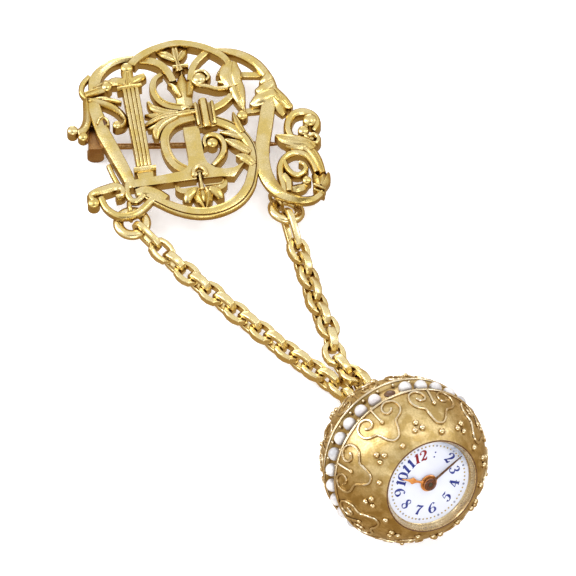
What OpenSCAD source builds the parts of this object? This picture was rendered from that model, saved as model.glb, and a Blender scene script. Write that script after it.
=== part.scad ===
// Pendant watch: a pierced scrollwork brooch, two belcher chains and a ball watch with a pearl belt.
// The watch lies on a surface at z = 0. Millimetres.

/* [Brooch] */
// Thickness of the scrollwork from its back to its front
frame_t = 2; // [1.6:0.1:2.2]
// Height of the scrollwork's back over the surface
frame_back = 3.6; // [3.6:0.1:4]
// Width of the bevel along the edges of the scrolls
bevel = 0.28; // [0.2:0.01:0.34]

/* [Pin] */
// Diameter of the pin stem
pin_d = 0.9; // [0.7:0.1:1]
// Length of the pin stem from its rivet to its point
pin_length = 26.6; // [25.6:0.2:27.6]

/* [Chains] */
// Outer length of a link in the left chain
link_l = 4.4; // [4.36:0.01:4.44]
// Outer length of a link in the right chain
short_link_l = 4.3; // [4.28:0.01:4.32]
// Outer width of a link
link_w = 3.4; // [3.35:0.05:3.45]
// Width of a link's wire
link_wire = 0.78; // [0.74:0.01:0.78]
// Thickness of a link's wire
link_t = 0.74; // [0.7:0.01:0.75]

/* [Watch] */
// Radius of the ball
ball_r = 11.5; // [11.4:0.1:11.6]
// Radius of a pearl
pearl_r = 0.93; // [0.85:0.01:0.95]
// Places round the belt, of which one has lost its pearl
pearl_places = 29; // [26:1:29]
// Radius of the filigree wire
wire_r = 0.17; // [0.12:0.01:0.2]
// Radius of a granule on the ball
granule_r = 0.38; // [0.3:0.01:0.4]

/* [Dial] */
// Radius of the opening in the ball's front
window_r = 6.9; // [6.8:0.05:7]
// Height of the dial's face over the ball's centre
dial_z = 7.9; // [7.8:0.05:8]
// Angle of the hour hand back from twelve
hour_angle = 306; // [0:1:359]
// Angle of the minute hand on from twelve
minute_angle = 72; // [0:1:359]

/* [Hidden] */
PEARLS = [for (i = [1 : pearl_places - 1]) str("pearl_", i < 10 ? "0" : "", i)];

$fn = 48;
GOLD = [0.85, 0.68, 0.36];
BALL_GOLD = [0.78, 0.62, 0.32];
COPPER = [0.74, 0.36, 0.14];
PEARL = [0.93, 0.92, 0.93];
ENAMEL = [0.95, 0.95, 0.97];
STEEL = [0.6, 0.6, 0.62];

// The plan's own zero is moved so that the footprint is centred
plan_shift = [1.58, 4.745];
brooch_at = [-11.67, 23.37];
brooch_turn = 9;
ball_at = [16.13, -35.59, 11.96];
ball_tilt = 61.75;
ball_turn = -61.13;

// Scrolls of the brooch: each row is [along, up, width] on the centre line, in the brooch's own plane
OUTER_ARC_LEFT = [[-14.4, 8.6, 1.8], [-14.2, 10.2, 1.8], [-13.2, 11.7, 1.5], [-11.5, 12.8, 1.2],
    [-9.8, 13.2, 1], [-8.2, 13.2, 0.9]];
TOP_ARC = [[-8.7, 12, 1.3], [-7.6, 13, 1.3], [-6, 13.8, 1.3], [-4, 14.4, 1.2], [-2, 14.6, 1.2],
    [0, 14.1, 1.2], [2, 13.2, 1.2], [3.6, 12, 1.2], [4.6, 10.8, 1.1], [4.9, 9.6, 0.9]];
PALMETTE_STEM = [[-2.1, 9.8, 1.5], [-2.2, 11.6, 0.9], [-2.3, 13.2, 1.3], [-2.3, 15, 0.4]];
PALMETTE_LEFT = [[-2.3, 11.8, 0.8], [-3.4, 12.9, 1], [-4.6, 13.8, 0.6]];
PALMETTE_RIGHT = [[-2.1, 11.8, 0.8], [-1.4, 12.9, 0.9], [-0.8, 13.9, 0.6]];
TRUNK = [[-2, 10.3, 1.5], [-2, 8, 2.3], [-2, 6, 2.5], [-2, 3.6, 2.5]];
UPPER_C = [[-4.7, 9.9, 0.7], [-5.8, 9.2, 0.9], [-6.3, 7.8, 1], [-6, 6.2, 1], [-5, 4.9, 1],
    [-3.6, 4.2, 1], [-1.6, 3.7, 1]];
INNER_SWEEP = [[-7.6, 12.7, 0.9], [-6.2, 12.4, 0.9], [-4.7, 11.4, 0.9], [-3.8, 10, 0.9], [-3.3, 8.4, 0.9]];
WRAP_LOOP = [[-14.8, 11.2, 0.6], [-15.9, 10.2, 0.6], [-16.3, 9, 0.6], [-15.9, 7.9, 0.6], [-15, 7.1, 0.6]];
LEFT_S = [[-15.4, 7.2, 0.9], [-14, 6.7, 0.9], [-12.6, 5.8, 0.9], [-11.5, 4.6, 0.8], [-11, 3.2, 0.8],
    [-11.4, 2.2, 0.7], [-12.3, 2, 0.7]];
LEFT_TWIG = [[-13.9, 6.9, 0.6], [-12.6, 6.7, 0.8], [-11, 6.2, 0.5]];
LEFT_FOOT = [[-15.8, 7.4, 1.1], [-16.1, 5.4, 1.1], [-16.6, 3.8, 1.1], [-17.4, 2.5, 1], [-18.4, 2.2, 0.9]];
LEFT_LEG = [[-15.1, 7.2, 1.9], [-14.9, 4, 2.3], [-14.6, 1, 2.2], [-13.8, -1, 2.1], [-13, -3, 1.9],
    [-12.1, -5, 1.7], [-11.7, -7, 1.4], [-11.8, -8.4, 1.2]];
D_BOW = [[-1.2, 2.1, 1.1], [-3, 1.9, 1.1], [-4.6, 1.2, 1.1], [-5.7, -0.2, 1.1], [-6, -2, 1.1],
    [-5.7, -3.9, 1.1], [-4.9, -5.4, 1.1], [-3.4, -6.6, 1.1]];
SPRAY_STEM = [[-1, 2.9, 0.8], [-3.4, 2.9, 0.9], [-5.8, 2.9, 0.8], [-8.4, 2.7, 0.4]];
SPRAY_UP = [[-4.2, 2.9, 0.7], [-6.1, 3.8, 0.9], [-7, 5.3, 0.4]];
SPRAY_DOWN = [[-4.2, 2.8, 0.7], [-6.3, 1.7, 0.9], [-7, 0, 0.4]];
RIGHT_BAND = [[1.2, 3, 1.1], [3, 3.7, 1.1], [4.5, 4.9, 1]];
TRUNK_BAND = [[-0.9, 8.2, 0.9], [-0.4, 9.8, 1], [0.5, 11.2, 1], [2.2, 12.6, 1]];
SNAIL = [[4.2, 6.3, 0.8], [2.8, 6.2, 0.8], [1.4, 6.8, 0.8], [0, 7.4, 0.8], [-0.6, 8.4, 0.8],
    [0.1, 9.4, 0.7], [1.2, 9.4, 0.7], [1.8, 8.5, 0.7], [1.3, 7.8, 0.6]];
OUTER_ARC_RIGHT = [[3.4, 12.7, 0.9], [5.5, 12.2, 1.2], [7.2, 11.3, 1.4], [8.6, 10, 1.5], [9.6, 8.4, 1.5],
    [10.3, 6.4, 1.5], [10.5, 4, 1.5]];
BAR_UPPER = [[5.9, 8.6, 0.9], [9.4, 8, 0.9]];
BAR_LOWER = [[5.4, 2.4, 0.9], [8.8, 2.3, 0.9]];
LONG_STEM = [[10.3, 4.4, 1.6], [9.4, 2.4, 2], [8.7, 0, 2.1], [8, -2.4, 2.1], [7.3, -5, 2.1], [7.1, -7.6, 2.1],
    [7.5, -10, 2], [8.5, -12, 1.8], [9.9, -13.2, 1.45], [11.5, -13.95, 1.25], [13.2, -14, 1.1], [14.6, -13.1, 1]];
CURL_HIGH = [[11.8, -3.5, 0.8], [11.4, -2, 0.9], [11.6, -0.6, 1], [12.5, 0.5, 1], [13.8, 0.9, 1],
    [15, 0.5, 1], [15.8, -0.6, 1], [15.9, -2, 0.9], [15.1, -3.2, 0.8]];
CURL_STEM = [[12.6, -4.6, 1.1], [14, -5.8, 1.2], [14.8, -7.6, 1.1], [15.2, -10, 0.9]];
CURL_LOW = [[9.2, -12.8, 0.9], [9.4, -11, 0.8], [9.2, -9.2, 0.8], [9.6, -7.4, 0.8], [10.6, -6.2, 0.8],
    [12, -5.8, 0.8], [13.3, -6.5, 0.8], [14.1, -7.9, 0.8], [14.4, -9.6, 0.8]];
CURL_INNER = [[10, -7.4, 0.7], [10.3, -8.6, 0.7], [11.3, -9.2, 0.7], [12.4, -9, 0.7], [12.9, -8, 0.7],
    [12.1, -7.3, 0.6]];
LOWER_SWEEP = [[1.4, 1.1, 1], [3.1, 0.1, 1.1], [4.4, -1.1, 1.1], [5.4, -2.7, 1.2], [5.9, -4.6, 1.2],
    [5.8, -6.6, 1.3], [5.4, -8.6, 1.4], [4.6, -10.6, 1.5], [3.1, -12.4, 1.4], [1, -13.6, 1.4],
    [-1.5, -14.1, 1.4], [-4, -13.7, 1.4], [-6.3, -12.6, 1.4], [-8.2, -11.1, 1.3], [-9.8, -9.8, 1.1]];
SWEEP_LEAF_HIGH = [[4.9, -1.4, 0.9], [3.6, -1.1, 1], [2.2, -0.5, 0.4]];
SWEEP_LEAF_MID = [[5.8, -3.9, 1.1], [4.2, -3.4, 1.2], [2.3, -2.9, 0.4]];
SWEEP_LEAF_LOW = [[5.9, -6, 1.2], [4.8, -5.5, 1.1], [3.5, -5.2, 0.4]];
ROLL_STEM = [[5.2, 1.4, 0.8], [4.4, 0.6, 0.8], [4.5, -1, 0.8]];
SIX = [[-0.9, -4.4, 0.7], [-0.3, -5.6, 0.8], [0.6, -6.1, 0.8], [1.6, -4.9, 0.8], [2.1, -3.4, 0.8],
    [1.8, -1.9, 0.8], [0.8, -1.2, 0.8], [-0.3, -1.6, 0.8], [-0.4, -2.7, 0.8]];
LOW_U = [[-16.4, -9.2, 0.8], [-15.9, -11, 0.8], [-14.8, -12.4, 0.8], [-13.3, -12.9, 0.8],
    [-11.8, -12.7, 0.8], [-10.5, -11.9, 0.9], [-9.2, -10.6, 1]];
LOW_SCROLL = [[-17.6, -9.7, 0.8], [-18.1, -8.8, 0.9], [-17.3, -8.1, 1.1], [-15.8, -7.8, 1.2],
    [-14.2, -7.4, 1.2], [-13.1, -7.9, 1], [-13, -9.1, 0.9], [-14, -9.8, 0.8], [-15.2, -9.6, 0.7]];
LOW_HOOK = [[-12.2, -7.4, 1], [-12.5, -9, 0.9], [-12.1, -10.3, 0.9], [-11.2, -10.5, 0.9], [-10.3, -9.7, 1]];
REAR_ROD = [[-14.3, -3.4, 0.7], [-13.9, -5.2, 0.7], [-13.2, -7.6, 0.7]];
FLEUR_STEM = [[-2, -7.8, 0.8], [-2, -9.2, 0.7], [-2, -10.2, 1.2]];
CRESCENT = [[9.6, -11.2, 0.7], [10.9, -11.6, 1.1], [12.2, -11.4, 1], [12.9, -10.3, 0.6]];
CURL_HEART = [[14.8, -4.4, 0.8], [13.8, -3.4, 0.8], [13.9, -2.2, 0.8], [14.8, -1.2, 0.8]];
RIGHT_LEAF_RIB = [[9.3, -2.5, 0.5], [10.8, -3.7, 1.6], [12.4, -4.6, 1.5], [13.9, -4.7, 0.8]];

// Scrolls with their lower and upper faces, as shares of the frame's thickness
SCROLLS = [
    [OUTER_ARC_LEFT, 0, 0.9], [TOP_ARC, 0, 1], [PALMETTE_STEM, 0, 1.1], [PALMETTE_LEFT, 0.2, 1.05],
    [PALMETTE_RIGHT, 0.2, 1.05], [TRUNK, 0, 0.95], [UPPER_C, 0, 0.88], [INNER_SWEEP, 0, 0.95],
    [WRAP_LOOP, 0.3, 0.8], [LEFT_S, 0, 0.98], [LEFT_TWIG, 0.3, 1], [LEFT_FOOT, 0, 0.9], [LEFT_LEG, 0, 1],
    [D_BOW, 0, 0.85], [SPRAY_STEM, 0, 0.95], [SPRAY_UP, 0.1, 0.92], [SPRAY_DOWN, 0.1, 0.9],
    [RIGHT_BAND, 0, 0.8], [TRUNK_BAND, 0, 0.85], [SNAIL, 0, 0.92], [OUTER_ARC_RIGHT, 0, 0.88],
    [BAR_UPPER, 0, 0.45], [BAR_LOWER, 0, 0.45], [LONG_STEM, 0, 1], [CURL_HIGH, 0, 0.9],
    [CURL_STEM, 0, 0.95], [CURL_LOW, 0, 0.86], [CURL_INNER, 0, 0.8], [LOWER_SWEEP, 0, 0.96],
    [SWEEP_LEAF_HIGH, 0.1, 0.85], [SWEEP_LEAF_MID, 0.1, 0.9], [SWEEP_LEAF_LOW, 0.1, 0.85],
    [ROLL_STEM, 0, 0.8], [SIX, 0, 0.9], [LOW_U, 0.45, 0.95], [LOW_SCROLL, 0, 1], [LOW_HOOK, 0.45, 0.95],
    [REAR_ROD, 0, 0.4], [FLEUR_STEM, 0, 0.8], [CRESCENT, 0, 0.85], [RIGHT_LEAF_RIB, 0, 1.05],
    [CURL_HEART, 0, 0.85]];

// Leaves, bars and plates: outlines in the brooch's plane with their lower and upper faces
T_BAR = [[-12, -8.3], [-11.8, -7.1], [-8, -6.95], [-4.4, -6.7], [-3.4, -6], [-3.1, -4.6], [-3.1, 0.4],
    [-0.9, 0.4], [-0.9, -4.6], [-0.6, -5.8], [0.4, -6.8], [1.6, -7.2], [3, -7.2], [4.6, -6.5],
    [2.8, -8.7], [1, -8.4], [-1, -8.3]];
BIG_LEAF = [[5, 10], [5.9, 9.7], [6.4, 8.5], [6.5, 7], [6.2, 5.4], [5.7, 3.9], [6, 2], [4.9, 2.8], [4.1, 4.3],
    [4.2, 5.4], [3.9, 6.2], [3.3, 7], [2.9, 7.6], [3, 8.6], [3.8, 9.2], [4.6, 9.4]];
WRAP_LEAF_LEFT = [[-16, 8.7], [-15.3, 7.2], [-13.6, 7], [-12, 7.5], [-12.8, 8.5], [-12.1, 9.5],
    [-13.2, 10], [-14.6, 9.7]];
WRAP_LEAF_RIGHT = [[6.9, 2.6], [7.4, 3.8], [8.2, 4.6], [7.9, 5.6], [9.2, 6], [10.4, 6.6], [11.1, 5], [11.3, 3.4],
    [13, 2], [11.5, 1.7], [10.8, 2.4], [9.5, 2.6], [8.4, 2.5]];
FLOWER = [[13.8, -12.3], [14.9, -13.1], [15.6, -11.4], [16.3, -9.6], [15.4, -9.8], [14.7, -9.2], [13.9, -9.8],
    [14.2, -11]];
FLEUR_MID = [[-2.7, -9.8], [-1.3, -9.8], [-1.2, -11.4], [-2, -13.4], [-2.8, -11.4]];
FLEUR_LEFT = [[-2.2, -9.9], [-3.6, -9.6], [-4.6, -8.8], [-5.4, -9.2], [-5, -9.9], [-5.7, -10.3], [-4.8, -11],
    [-4, -11.9], [-2.9, -11.3]];
FLEUR_RIGHT = [for (p = [8 : -1 : 0]) [-4 - FLEUR_LEFT[p][0], FLEUR_LEFT[p][1]]];
CAPITAL = [[-11.4, 8], [-11.3, 9], [-12.8, 9.6], [-12.2, 10.4], [-11.2, 10.9], [-10.2, 10.2], [-9.8, 11.2],
    [-9, 11.2], [-8.7, 10.2], [-7.4, 10.6], [-6.9, 10.2], [-7.9, 9.2], [-7.8, 8]];
SHAFT = [[-10.65, 8.2], [-8.25, 8.2], [-8.4, -5.2], [-10.5, -5.2]];
SHAFT_BASE = [[-10.9, -5], [-7.9, -5], [-7.8, -6], [-8.4, -7.2], [-10.6, -7.2], [-11, -6]];
PLATES = [[T_BAR, 0, 0.88], [BIG_LEAF, 0, 0.98], [WRAP_LEAF_LEFT, 0, 1.05], [WRAP_LEAF_RIGHT, 0, 1.05],
    [FLOWER, 0, 0.95], [FLEUR_MID, 0, 0.98], [FLEUR_LEFT, 0, 0.88], [FLEUR_RIGHT, 0, 0.88],
    [CAPITAL, 0, 1], [SHAFT, 0, 0.95], [SHAFT_BASE, 0, 1.05]];

// Round knobs and rolled ends: [along, up, radius, top as a share of the thickness]
KNOBS = [[-9.4, 11.6, 0.85, 1.05], [-18.55, 2.5, 0.8, 1], [-12.2, 2.4, 0.55, 1], [0.4, 8.3, 0.75, 1.05],
    [5.5, 1.3, 0.85, 1], [0.5, -2.6, 0.75, 1], [14.9, -1.1, 0.9, 1.05], [13.6, -2.6, 0.7, 1],
    [14.7, -4.2, 0.75, 0.95], [12.8, -10.8, 0.6, 0.95], [12, -7.9, 0.5, 0.9], [-17.5, -9.9, 0.75, 0.95],
    [-10.4, -9, 0.75, 1], [-9.1, -8.9, 0.7, 0.95], [-9.9, -9.9, 0.75, 0.95], [-2.7, -6.9, 0.5, 1.05],
    [-1.3, -6.9, 0.5, 1.05], [14.3, -12.7, 0.85, 1.05]];

// Raised fillets on the shaft and the collar: [along, lowest, highest, half width]
FILLETS = [[-10.15, -4.8, 8, 0.3], [-9.45, -4.8, 8, 0.3], [-8.75, -4.8, 8, 0.3]];
COLLARS = [[-0.85, 0.6, 4.2, 0.32], [0.45, -0.1, 4.6, 0.6], [1.5, 0.4, 4.1, 0.32]];
collar_rise = 0.18;
fillet_rise = 0.2;

// Eyes behind the scrollwork that hold the jump rings
eye_left = [-12.5, -11.35, 0.3];
eye_right = [8.2, -12.15, -0.9];
eye_turn_right = 33;
eye_r = 1.5;
eye_hole = 1.08;
eye_w = 0.7;

// Pin: its rivet's place in the brooch's plane, and its turn there
rivet_at = [-15.4, 1.8];
pin_turn = -7.9;
rivet_z = 1.2;
rivet_r = 0.4;
knuckle_r = 1.05;
knuckle_w = 1.4;
lug_r = 1.2;
lug_w = 1.1;
pin_gap = 0.1;
catch_at = 23.8;
catch_r = 1.35;
catch_hole = 0.65;
catch_mouth = 1.2;
catch_w = 1.6;

// Jump rings: inner and outer radius and thickness
ring_hole = 1.35;
ring_r = 2.6;
ring_t = 0.8;
ring_left_at = [-21.94, 8.28, 3.9];
ring_right_at = [-0.25, 11.12, 2.8];
ring_right_tilt = 20;
ring_right_turn = 51;

// Bow on the back of the ball, through the eye of its pendant
bow_wire = 0.42;
bow_r = 3.05;
bow_at = [10.15, -22.49, 3.68];
bow_tilt = 36.4;
bow_turn = 117.3;
pendant_eye_z = -13.7;
pendant_eye_r = 1.65;
pendant_hole = 0.98;
pendant_t = 0.72;
pendant_collar_r = 1.7;

// Chains: the links' middles in the plan with each link's roll about the chain, [x, y, z, roll]
first_left_l = 5.4;
first_right_l = 6.6;
LEFT_START = [[-19.85, 6.4, 3.5, 90], [-17.75, 4.55, 2.55, -3], [-16, 2.95, 1.9, 87]];
left_route = [[-14.2, 1.26], [-7.05, -5.4], [0, -11.7], [7.38, -17.8]];
left_run = 13;
left_pitch = 2.395;
LEFT_END = [[8.57, -19.77, 1.86, 75]];
left_hooks = [[-20.75, 7.25, 3.95], [8.9, -20.6, 1.9]];
left_twist = -1.45;
link_z = 1.74;
RIGHT_LINKS = [[0.42, 7.93, 2.72, 71], [1.44, 4.92, 2.02, -22], [2.13, 2.77, 1.73, 64], [2.8, 0.7, 1.74, -32],
    [3.4, -1.5, 1.74, 58], [4, -3.65, 1.78, -28], [4.7, -5.75, 1.95, 66], [5.55, -7.8, 2.15, -18],
    [6.05, -9.95, 2.1, 76], [6.45, -12.1, 1.85, -8], [7.6, -14.1, 1.79, 84], [8.93, -15.77, 2.27, -13],
    [10.4, -17.37, 2.85, 70], [11.27, -19.4, 2.5, -35]];
right_hooks = [[0.2, 9.3, 3.4], [11, -19.93, 2.3]];

// Ball: the belt of pearls lies between two wires at this height from the equator
rail_z = 1.84;
belt_z = 1.45;
belt_r = 10.9;
pearl_ring_r = 11.08;
pearl_gap = 0.05;
first_pearl_angle = 177;
shell_wall = 1;
split_z = 2.15;
split_gap = 0.1;
lip_depth = 1.1;
sleeve_r = 9.4;
lip_r = 9.95;
motif_angle = 197;
motifs = 8;
motif_polar = 66;
stem_polar = [79.5, 66.5];
single_polar = 43.5;
cluster_polar = 50;
cluster_r = 0.62;

// Filigree wire of one half motif: [polar angle, angle from the motif's middle]
HALF_MOTIF = [[50, 0], [50.4, 2.6], [52, 4.8], [54.8, 6.6], [58.2, 7.9], [61.5, 9.2], [63.2, 12], [65, 15.4],
    [68.4, 17.8], [72.6, 18], [76.4, 16.4], [78.4, 13.4], [78.8, 10.4], [77.2, 7.4], [74.2, 5.6], [71, 5.8],
    [69.4, 8], [70, 10.8], [72, 12.2]];

// Dial, bezel and hands, in the ball's own frame
seat_z = 6.9;
dial_t = 0.5;
dial_r = 6.8;
bezel_r = 6.85;
bezel_hole = 6.3;
bezel_top = 9.2;
crystal_r = 6.5;
crystal_z = 8.8;
crystal_t = 0.35;
movement_r = 5.95;
movement_low = -3.5;
twelve_angle = 181.5;
hand_t = 0.16;
hour_z = 8.12;
minute_z = 8.42;
arbor_r = 0.3;
hand_gap = 0.06;
hour_hub_r = 1.25;
minute_hub_r = 0.95;
hour_length = 4.3;
minute_length = 6;

// Places: the plan, the brooch's plane, the pin's line and the ball's axis
module in_plan() translate([plan_shift[0], plan_shift[1], 0]) children();
module on_brooch() in_plan() translate([brooch_at[0], brooch_at[1], frame_back]) rotate([0, 0, brooch_turn])
    children();
module on_pin() on_brooch() translate([rivet_at[0], rivet_at[1], rivet_z - frame_back])
    rotate([0, 0, pin_turn]) children();
module in_ball() in_plan() translate(ball_at) rotate([0, ball_tilt, ball_turn]) children();

// A smooth curve through a table's points: the point a share t of the way from row i to row i + 1
function row(table, i) = table[max(0, min(len(table) - 1, i))];
function blend(a, b, c, d, t) = 0.5 * ((2 * b) + (c - a) * t + (2 * a - 5 * b + 4 * c - d) * t * t
    + (3 * b - a - 3 * c + d) * t * t * t);
function smooth(table, steps) = concat(
    [for (i = [0 : len(table) - 2]) for (s = [0 : steps - 1])
        blend(row(table, i - 1), row(table, i), row(table, i + 1), row(table, i + 2), s / steps)],
    [table[len(table) - 1]]);
function flat(p) = [p[0], p[1]];
function heading(path, i) = let (v = flat(row(path, i + 1)) - flat(row(path, i - 1))) v / norm(v);

// One scroll: a bevelled bar along a table, from low to high
module scroll(table, low, high) {
    path = smooth(table, 2);
    sides = 6;
    points = [for (i = [0 : len(path) - 1]) let (
        t = heading(path, i), n = [-t[1], t[0]], c = flat(path[i]), h = path[i][2] / 2,
        b = min(bevel, h * 0.6))
        for (k = [[-h, low], [h, low], [h, high - b], [h - b, high], [b - h, high], [-h, high - b]])
            [c[0] + n[0] * k[0], c[1] + n[1] * k[0], k[1]]];
    last = len(path) - 1;
    faces = concat(
        [[for (k = [0 : sides - 1]) k]],
        [for (i = [0 : last - 1]) for (k = [0 : sides - 1])
            [i * sides + k, (i + 1) * sides + k, (i + 1) * sides + (k + 1) % sides, i * sides + (k + 1) % sides]],
        [[for (k = [sides - 1 : -1 : 0]) last * sides + k]]);
    polyhedron(points, faces);
}

module knob(at, r, high) translate([at[0], at[1], 0]) hull() {
    cylinder(h = high - bevel, r = r, $fn = 12);
    cylinder(h = high, r = r - bevel, $fn = 12);
}

module rib(at, low, high, half, rise) translate([at, 0, frame_t * 0.5]) hull() {
    translate([-half, low, 0]) cube([2 * half, high - low, rise / 2 + frame_t * 0.45]);
    translate([-half / 2, low, 0]) cube([half, high - low, rise + frame_t * 0.45]);
}

module ring_eye(at, turn) translate(at) rotate([0, 0, turn]) rotate([0, 90, 0]) difference() {
    cylinder(h = eye_w, r = eye_r, center = true, $fn = 16);
    cylinder(h = eye_w + 1, r = eye_hole, center = true, $fn = 16);
}

// Each piece ends a hair lower or higher than its neighbours, as on a hand-finished casting
function uneven(i) = 0.012 * ((i * 5) % 9);

module brooch_frame() color(GOLD) on_brooch() union() {
    for (i = [0 : len(SCROLLS) - 1]) let (s = SCROLLS[i])
        scroll(s[0], s[1] * frame_t + uneven(i), s[2] * frame_t + uneven(i + 4));
    for (i = [0 : len(PLATES) - 1]) let (p = PLATES[i])
        translate([0, 0, p[1] * frame_t + uneven(i + 2) + 0.005])
            linear_extrude((p[2] - p[1]) * frame_t) polygon(p[0]);
    for (i = [0 : len(KNOBS) - 1]) let (k = KNOBS[i])
        translate([0, 0, uneven(i) + 0.003]) knob(k, k[2], k[3] * frame_t);
    for (f = FILLETS) rib(f[0], f[1], f[2], f[3], fillet_rise);
    for (c = COLLARS) rib(c[0], c[1], c[2], c[3], collar_rise);
    translate([-0.96, 0.15, 0.07]) cube([2.74, 4.07, frame_t * 0.8]);
    translate([-3.1, 10.1, 0.09]) cube([2, 0.9, frame_t]);
    ring_eye(eye_left, 0);
    ring_eye(eye_right, eye_turn_right);
}

module pin_hinge() color(GOLD) on_pin() {
    base_low = lug_r + pin_gap;
    base_h = frame_back - rivet_z - base_low;
    width = knuckle_w + 2 * pin_gap + 2 * lug_w;
    union() {
        translate([-0.9, -width / 2, base_low]) cube([2.9, width, base_h]);
        for (side = [-1, 1]) translate([0, side * (width - lug_w) / 2, 0]) {
            rotate([90, 0, 0]) cylinder(h = lug_w, r = lug_r, center = true);
            translate([-0.9, -lug_w / 2, 0]) cube([1.8, lug_w, base_low + base_h / 2]);
        }
        rotate([90, 0, 0]) cylinder(h = width - lug_w, r = rivet_r, center = true);
    }
}

module pin_stem() color(COPPER) on_pin() difference() {
    union() {
        rotate([90, 0, 0]) cylinder(h = knuckle_w, r = knuckle_r, center = true);
        rotate([0, 90, 0]) cylinder(h = pin_length - 3, r = pin_d / 2);
        translate([pin_length - 3, 0, 0]) rotate([0, 90, 0]) cylinder(h = 3, r1 = pin_d / 2, r2 = 0.12);
    }
    rotate([90, 0, 0]) cylinder(h = knuckle_w + 1, r = rivet_r + pin_gap / 2, center = true);
}

module pin_catch() color(GOLD) on_pin() translate([catch_at, 0, 0]) {
    top = frame_back - rivet_z;
    difference() {
        union() {
            rotate([0, 90, 0]) cylinder(h = catch_w, r = catch_r, center = true);
            translate([-catch_w / 2, -0.6, 0]) cube([catch_w, 1.2, top]);
        }
        rotate([0, 90, 0]) cylinder(h = catch_w + 1, r = catch_hole, center = true);
        translate([-catch_w / 2 - 0.5, -catch_mouth / 2, -2]) cube([catch_w + 1, catch_mouth, 2]);
    }
}

module jump_ring() difference() {
    cylinder(h = ring_t, r = ring_r, center = true);
    cylinder(h = ring_t + 1, r = ring_hole, center = true);
}

module ring_left() color(GOLD) in_plan() translate(ring_left_at) jump_ring();

module ring_right() color(GOLD) in_plan() translate(ring_right_at)
    rotate([0, ring_right_tilt, ring_right_turn]) jump_ring();

// Outline of a link or of its hole: straight sides and round ends of radius r
function stadium(l, r, n) = [for (end = [0, 1]) for (i = [0 : n])
    let (a = -90 + 180 * end + 180 * i / n) [(end == 0 ? 1 : -1) * (l / 2 - r) + r * cos(a), r * sin(a)]];

module link(l) {
    steps = 8;
    outer = stadium(l, link_w / 2, steps);
    inner = stadium(l - 2 * link_wire, link_w / 2 - link_wire, steps);
    count = len(outer);
    translate([0, 0, -link_t / 2]) linear_extrude(link_t) polygon(concat(outer, inner),
        [[for (i = [0 : count - 1]) i], [for (i = [0 : count - 1]) count + i]]);
}

// A link at a place, lying along a direction and turned about it
module link_along(at, dir, roll, l) translate(at)
    rotate([0, -atan2(dir[2], norm(flat(dir))), atan2(dir[1], dir[0])]) rotate([roll, 0, 0]) link(l);

// Links along a table of middles and rolls, each lying along the line between its neighbours
module chain(links, hooks, first_l, l) {
    ends = concat([hooks[0]], [for (k = links) [k[0], k[1], k[2]]], [hooks[1]]);
    for (i = [0 : len(links) - 1])
        link_along(ends[i + 1], ends[i + 2] - ends[i], links[i][3], i == 0 ? first_l : l);
}

// The point a distance s along a route in the plan
function leg(route, i) = norm(route[i + 1] - route[i]);
function on_route(route, s, i = 0) = s <= leg(route, i) || i == len(route) - 2
    ? route[i] + (route[i + 1] - route[i]) * s / leg(route, i) : on_route(route, s - leg(route, i), i + 1);
left_middle = [for (k = [0 : left_run - 1]) let (p = on_route(left_route, k * left_pitch))
    [p[0], p[1], link_z, (k % 2 == 0 ? 0 : 90) + left_twist * (k + 2)]];

module chain_left() color(GOLD) in_plan()
    chain(concat(LEFT_START, left_middle, LEFT_END), left_hooks, first_left_l, link_l);

module chain_right() color(GOLD) in_plan() chain(RIGHT_LINKS, right_hooks, first_right_l, short_link_l);

module bow() color(GOLD) in_plan() translate(bow_at) rotate([0, bow_tilt, bow_turn])
    rotate_extrude() translate([bow_r, 0]) circle(bow_wire);

// A point on a ball of radius r, by polar angle and angle round the axis
function on_ball(r, polar, angle) = [r * sin(polar) * cos(angle), r * sin(polar) * sin(angle), r * cos(polar)];

// A motif's table as seen straight down on its middle
function motif_xy(p) = [ball_r * sin(p[0]) * sin(p[1]),
    ball_r * (sin(p[0]) * cos(p[1]) * cos(motif_polar) - cos(p[0]) * sin(motif_polar))];
motif_path = let (half = [for (p = HALF_MOTIF) motif_xy(p)]) smooth(concat(
    [for (i = [len(half) - 1 : -1 : 1]) [-half[i][0], half[i][1]]], half), 2);
function beside(path, i, side) = let (t = heading(path, i)) flat(path[i]) + side * wire_r * [-t[1], t[0]];
motif_outline = concat([for (i = [0 : len(motif_path) - 1]) beside(motif_path, i, -1)],
    [for (i = [len(motif_path) - 1 : -1 : 0]) beside(motif_path, i, 1)]);

module motif() rotate([0, motif_polar, 0]) translate([0, 0, ball_r - 3]) linear_extrude(4)
    rotate([0, 0, -90]) polygon(motif_outline);

// Wires, granules and stems that stand on one half of the ball
module filigree() {
    intersection() {
        for (i = [0 : motifs - 1]) rotate([0, 0, motif_angle + 360 * i / motifs]) motif();
        difference() {
            sphere(ball_r + 2 * wire_r - 0.06);
            sphere(ball_r - 0.3);
        }
    }
    for (i = [0 : motifs - 1]) {
        middle = motif_angle + 360 * i / motifs;
        between = middle + 180 / motifs;
        translate(on_ball(ball_r + granule_r * 0.75, single_polar, middle)) sphere(granule_r);
        rotate([0, 0, between]) rotate([0, cluster_polar, 0]) translate([0, 0, ball_r + granule_r * 0.75])
            for (k = [0 : 2]) rotate([0, 0, 120 * k]) translate([cluster_r, 0, -0.05]) sphere(granule_r);
        translate(on_ball(ball_r + granule_r * 0.5, stem_polar[1], middle)) sphere(granule_r * 0.85);
        rotate([0, 0, middle]) rotate([0, (stem_polar[0] + stem_polar[1]) / 2, 0])
            translate([0, 0, ball_r]) rotate([0, 90, 0]) cylinder(h = 2.4, r = wire_r, center = true, $fn = 16);
    }
    translate([0, 0, rail_z]) rotate_extrude() translate([sqrt(pow(ball_r, 2) - pow(rail_z, 2)) + 0.1, 0])
        circle(wire_r, $fn = 16);
}

module pearl_groove() rotate_extrude() translate([pearl_ring_r, 0]) circle(pearl_r + pearl_gap);

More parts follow.
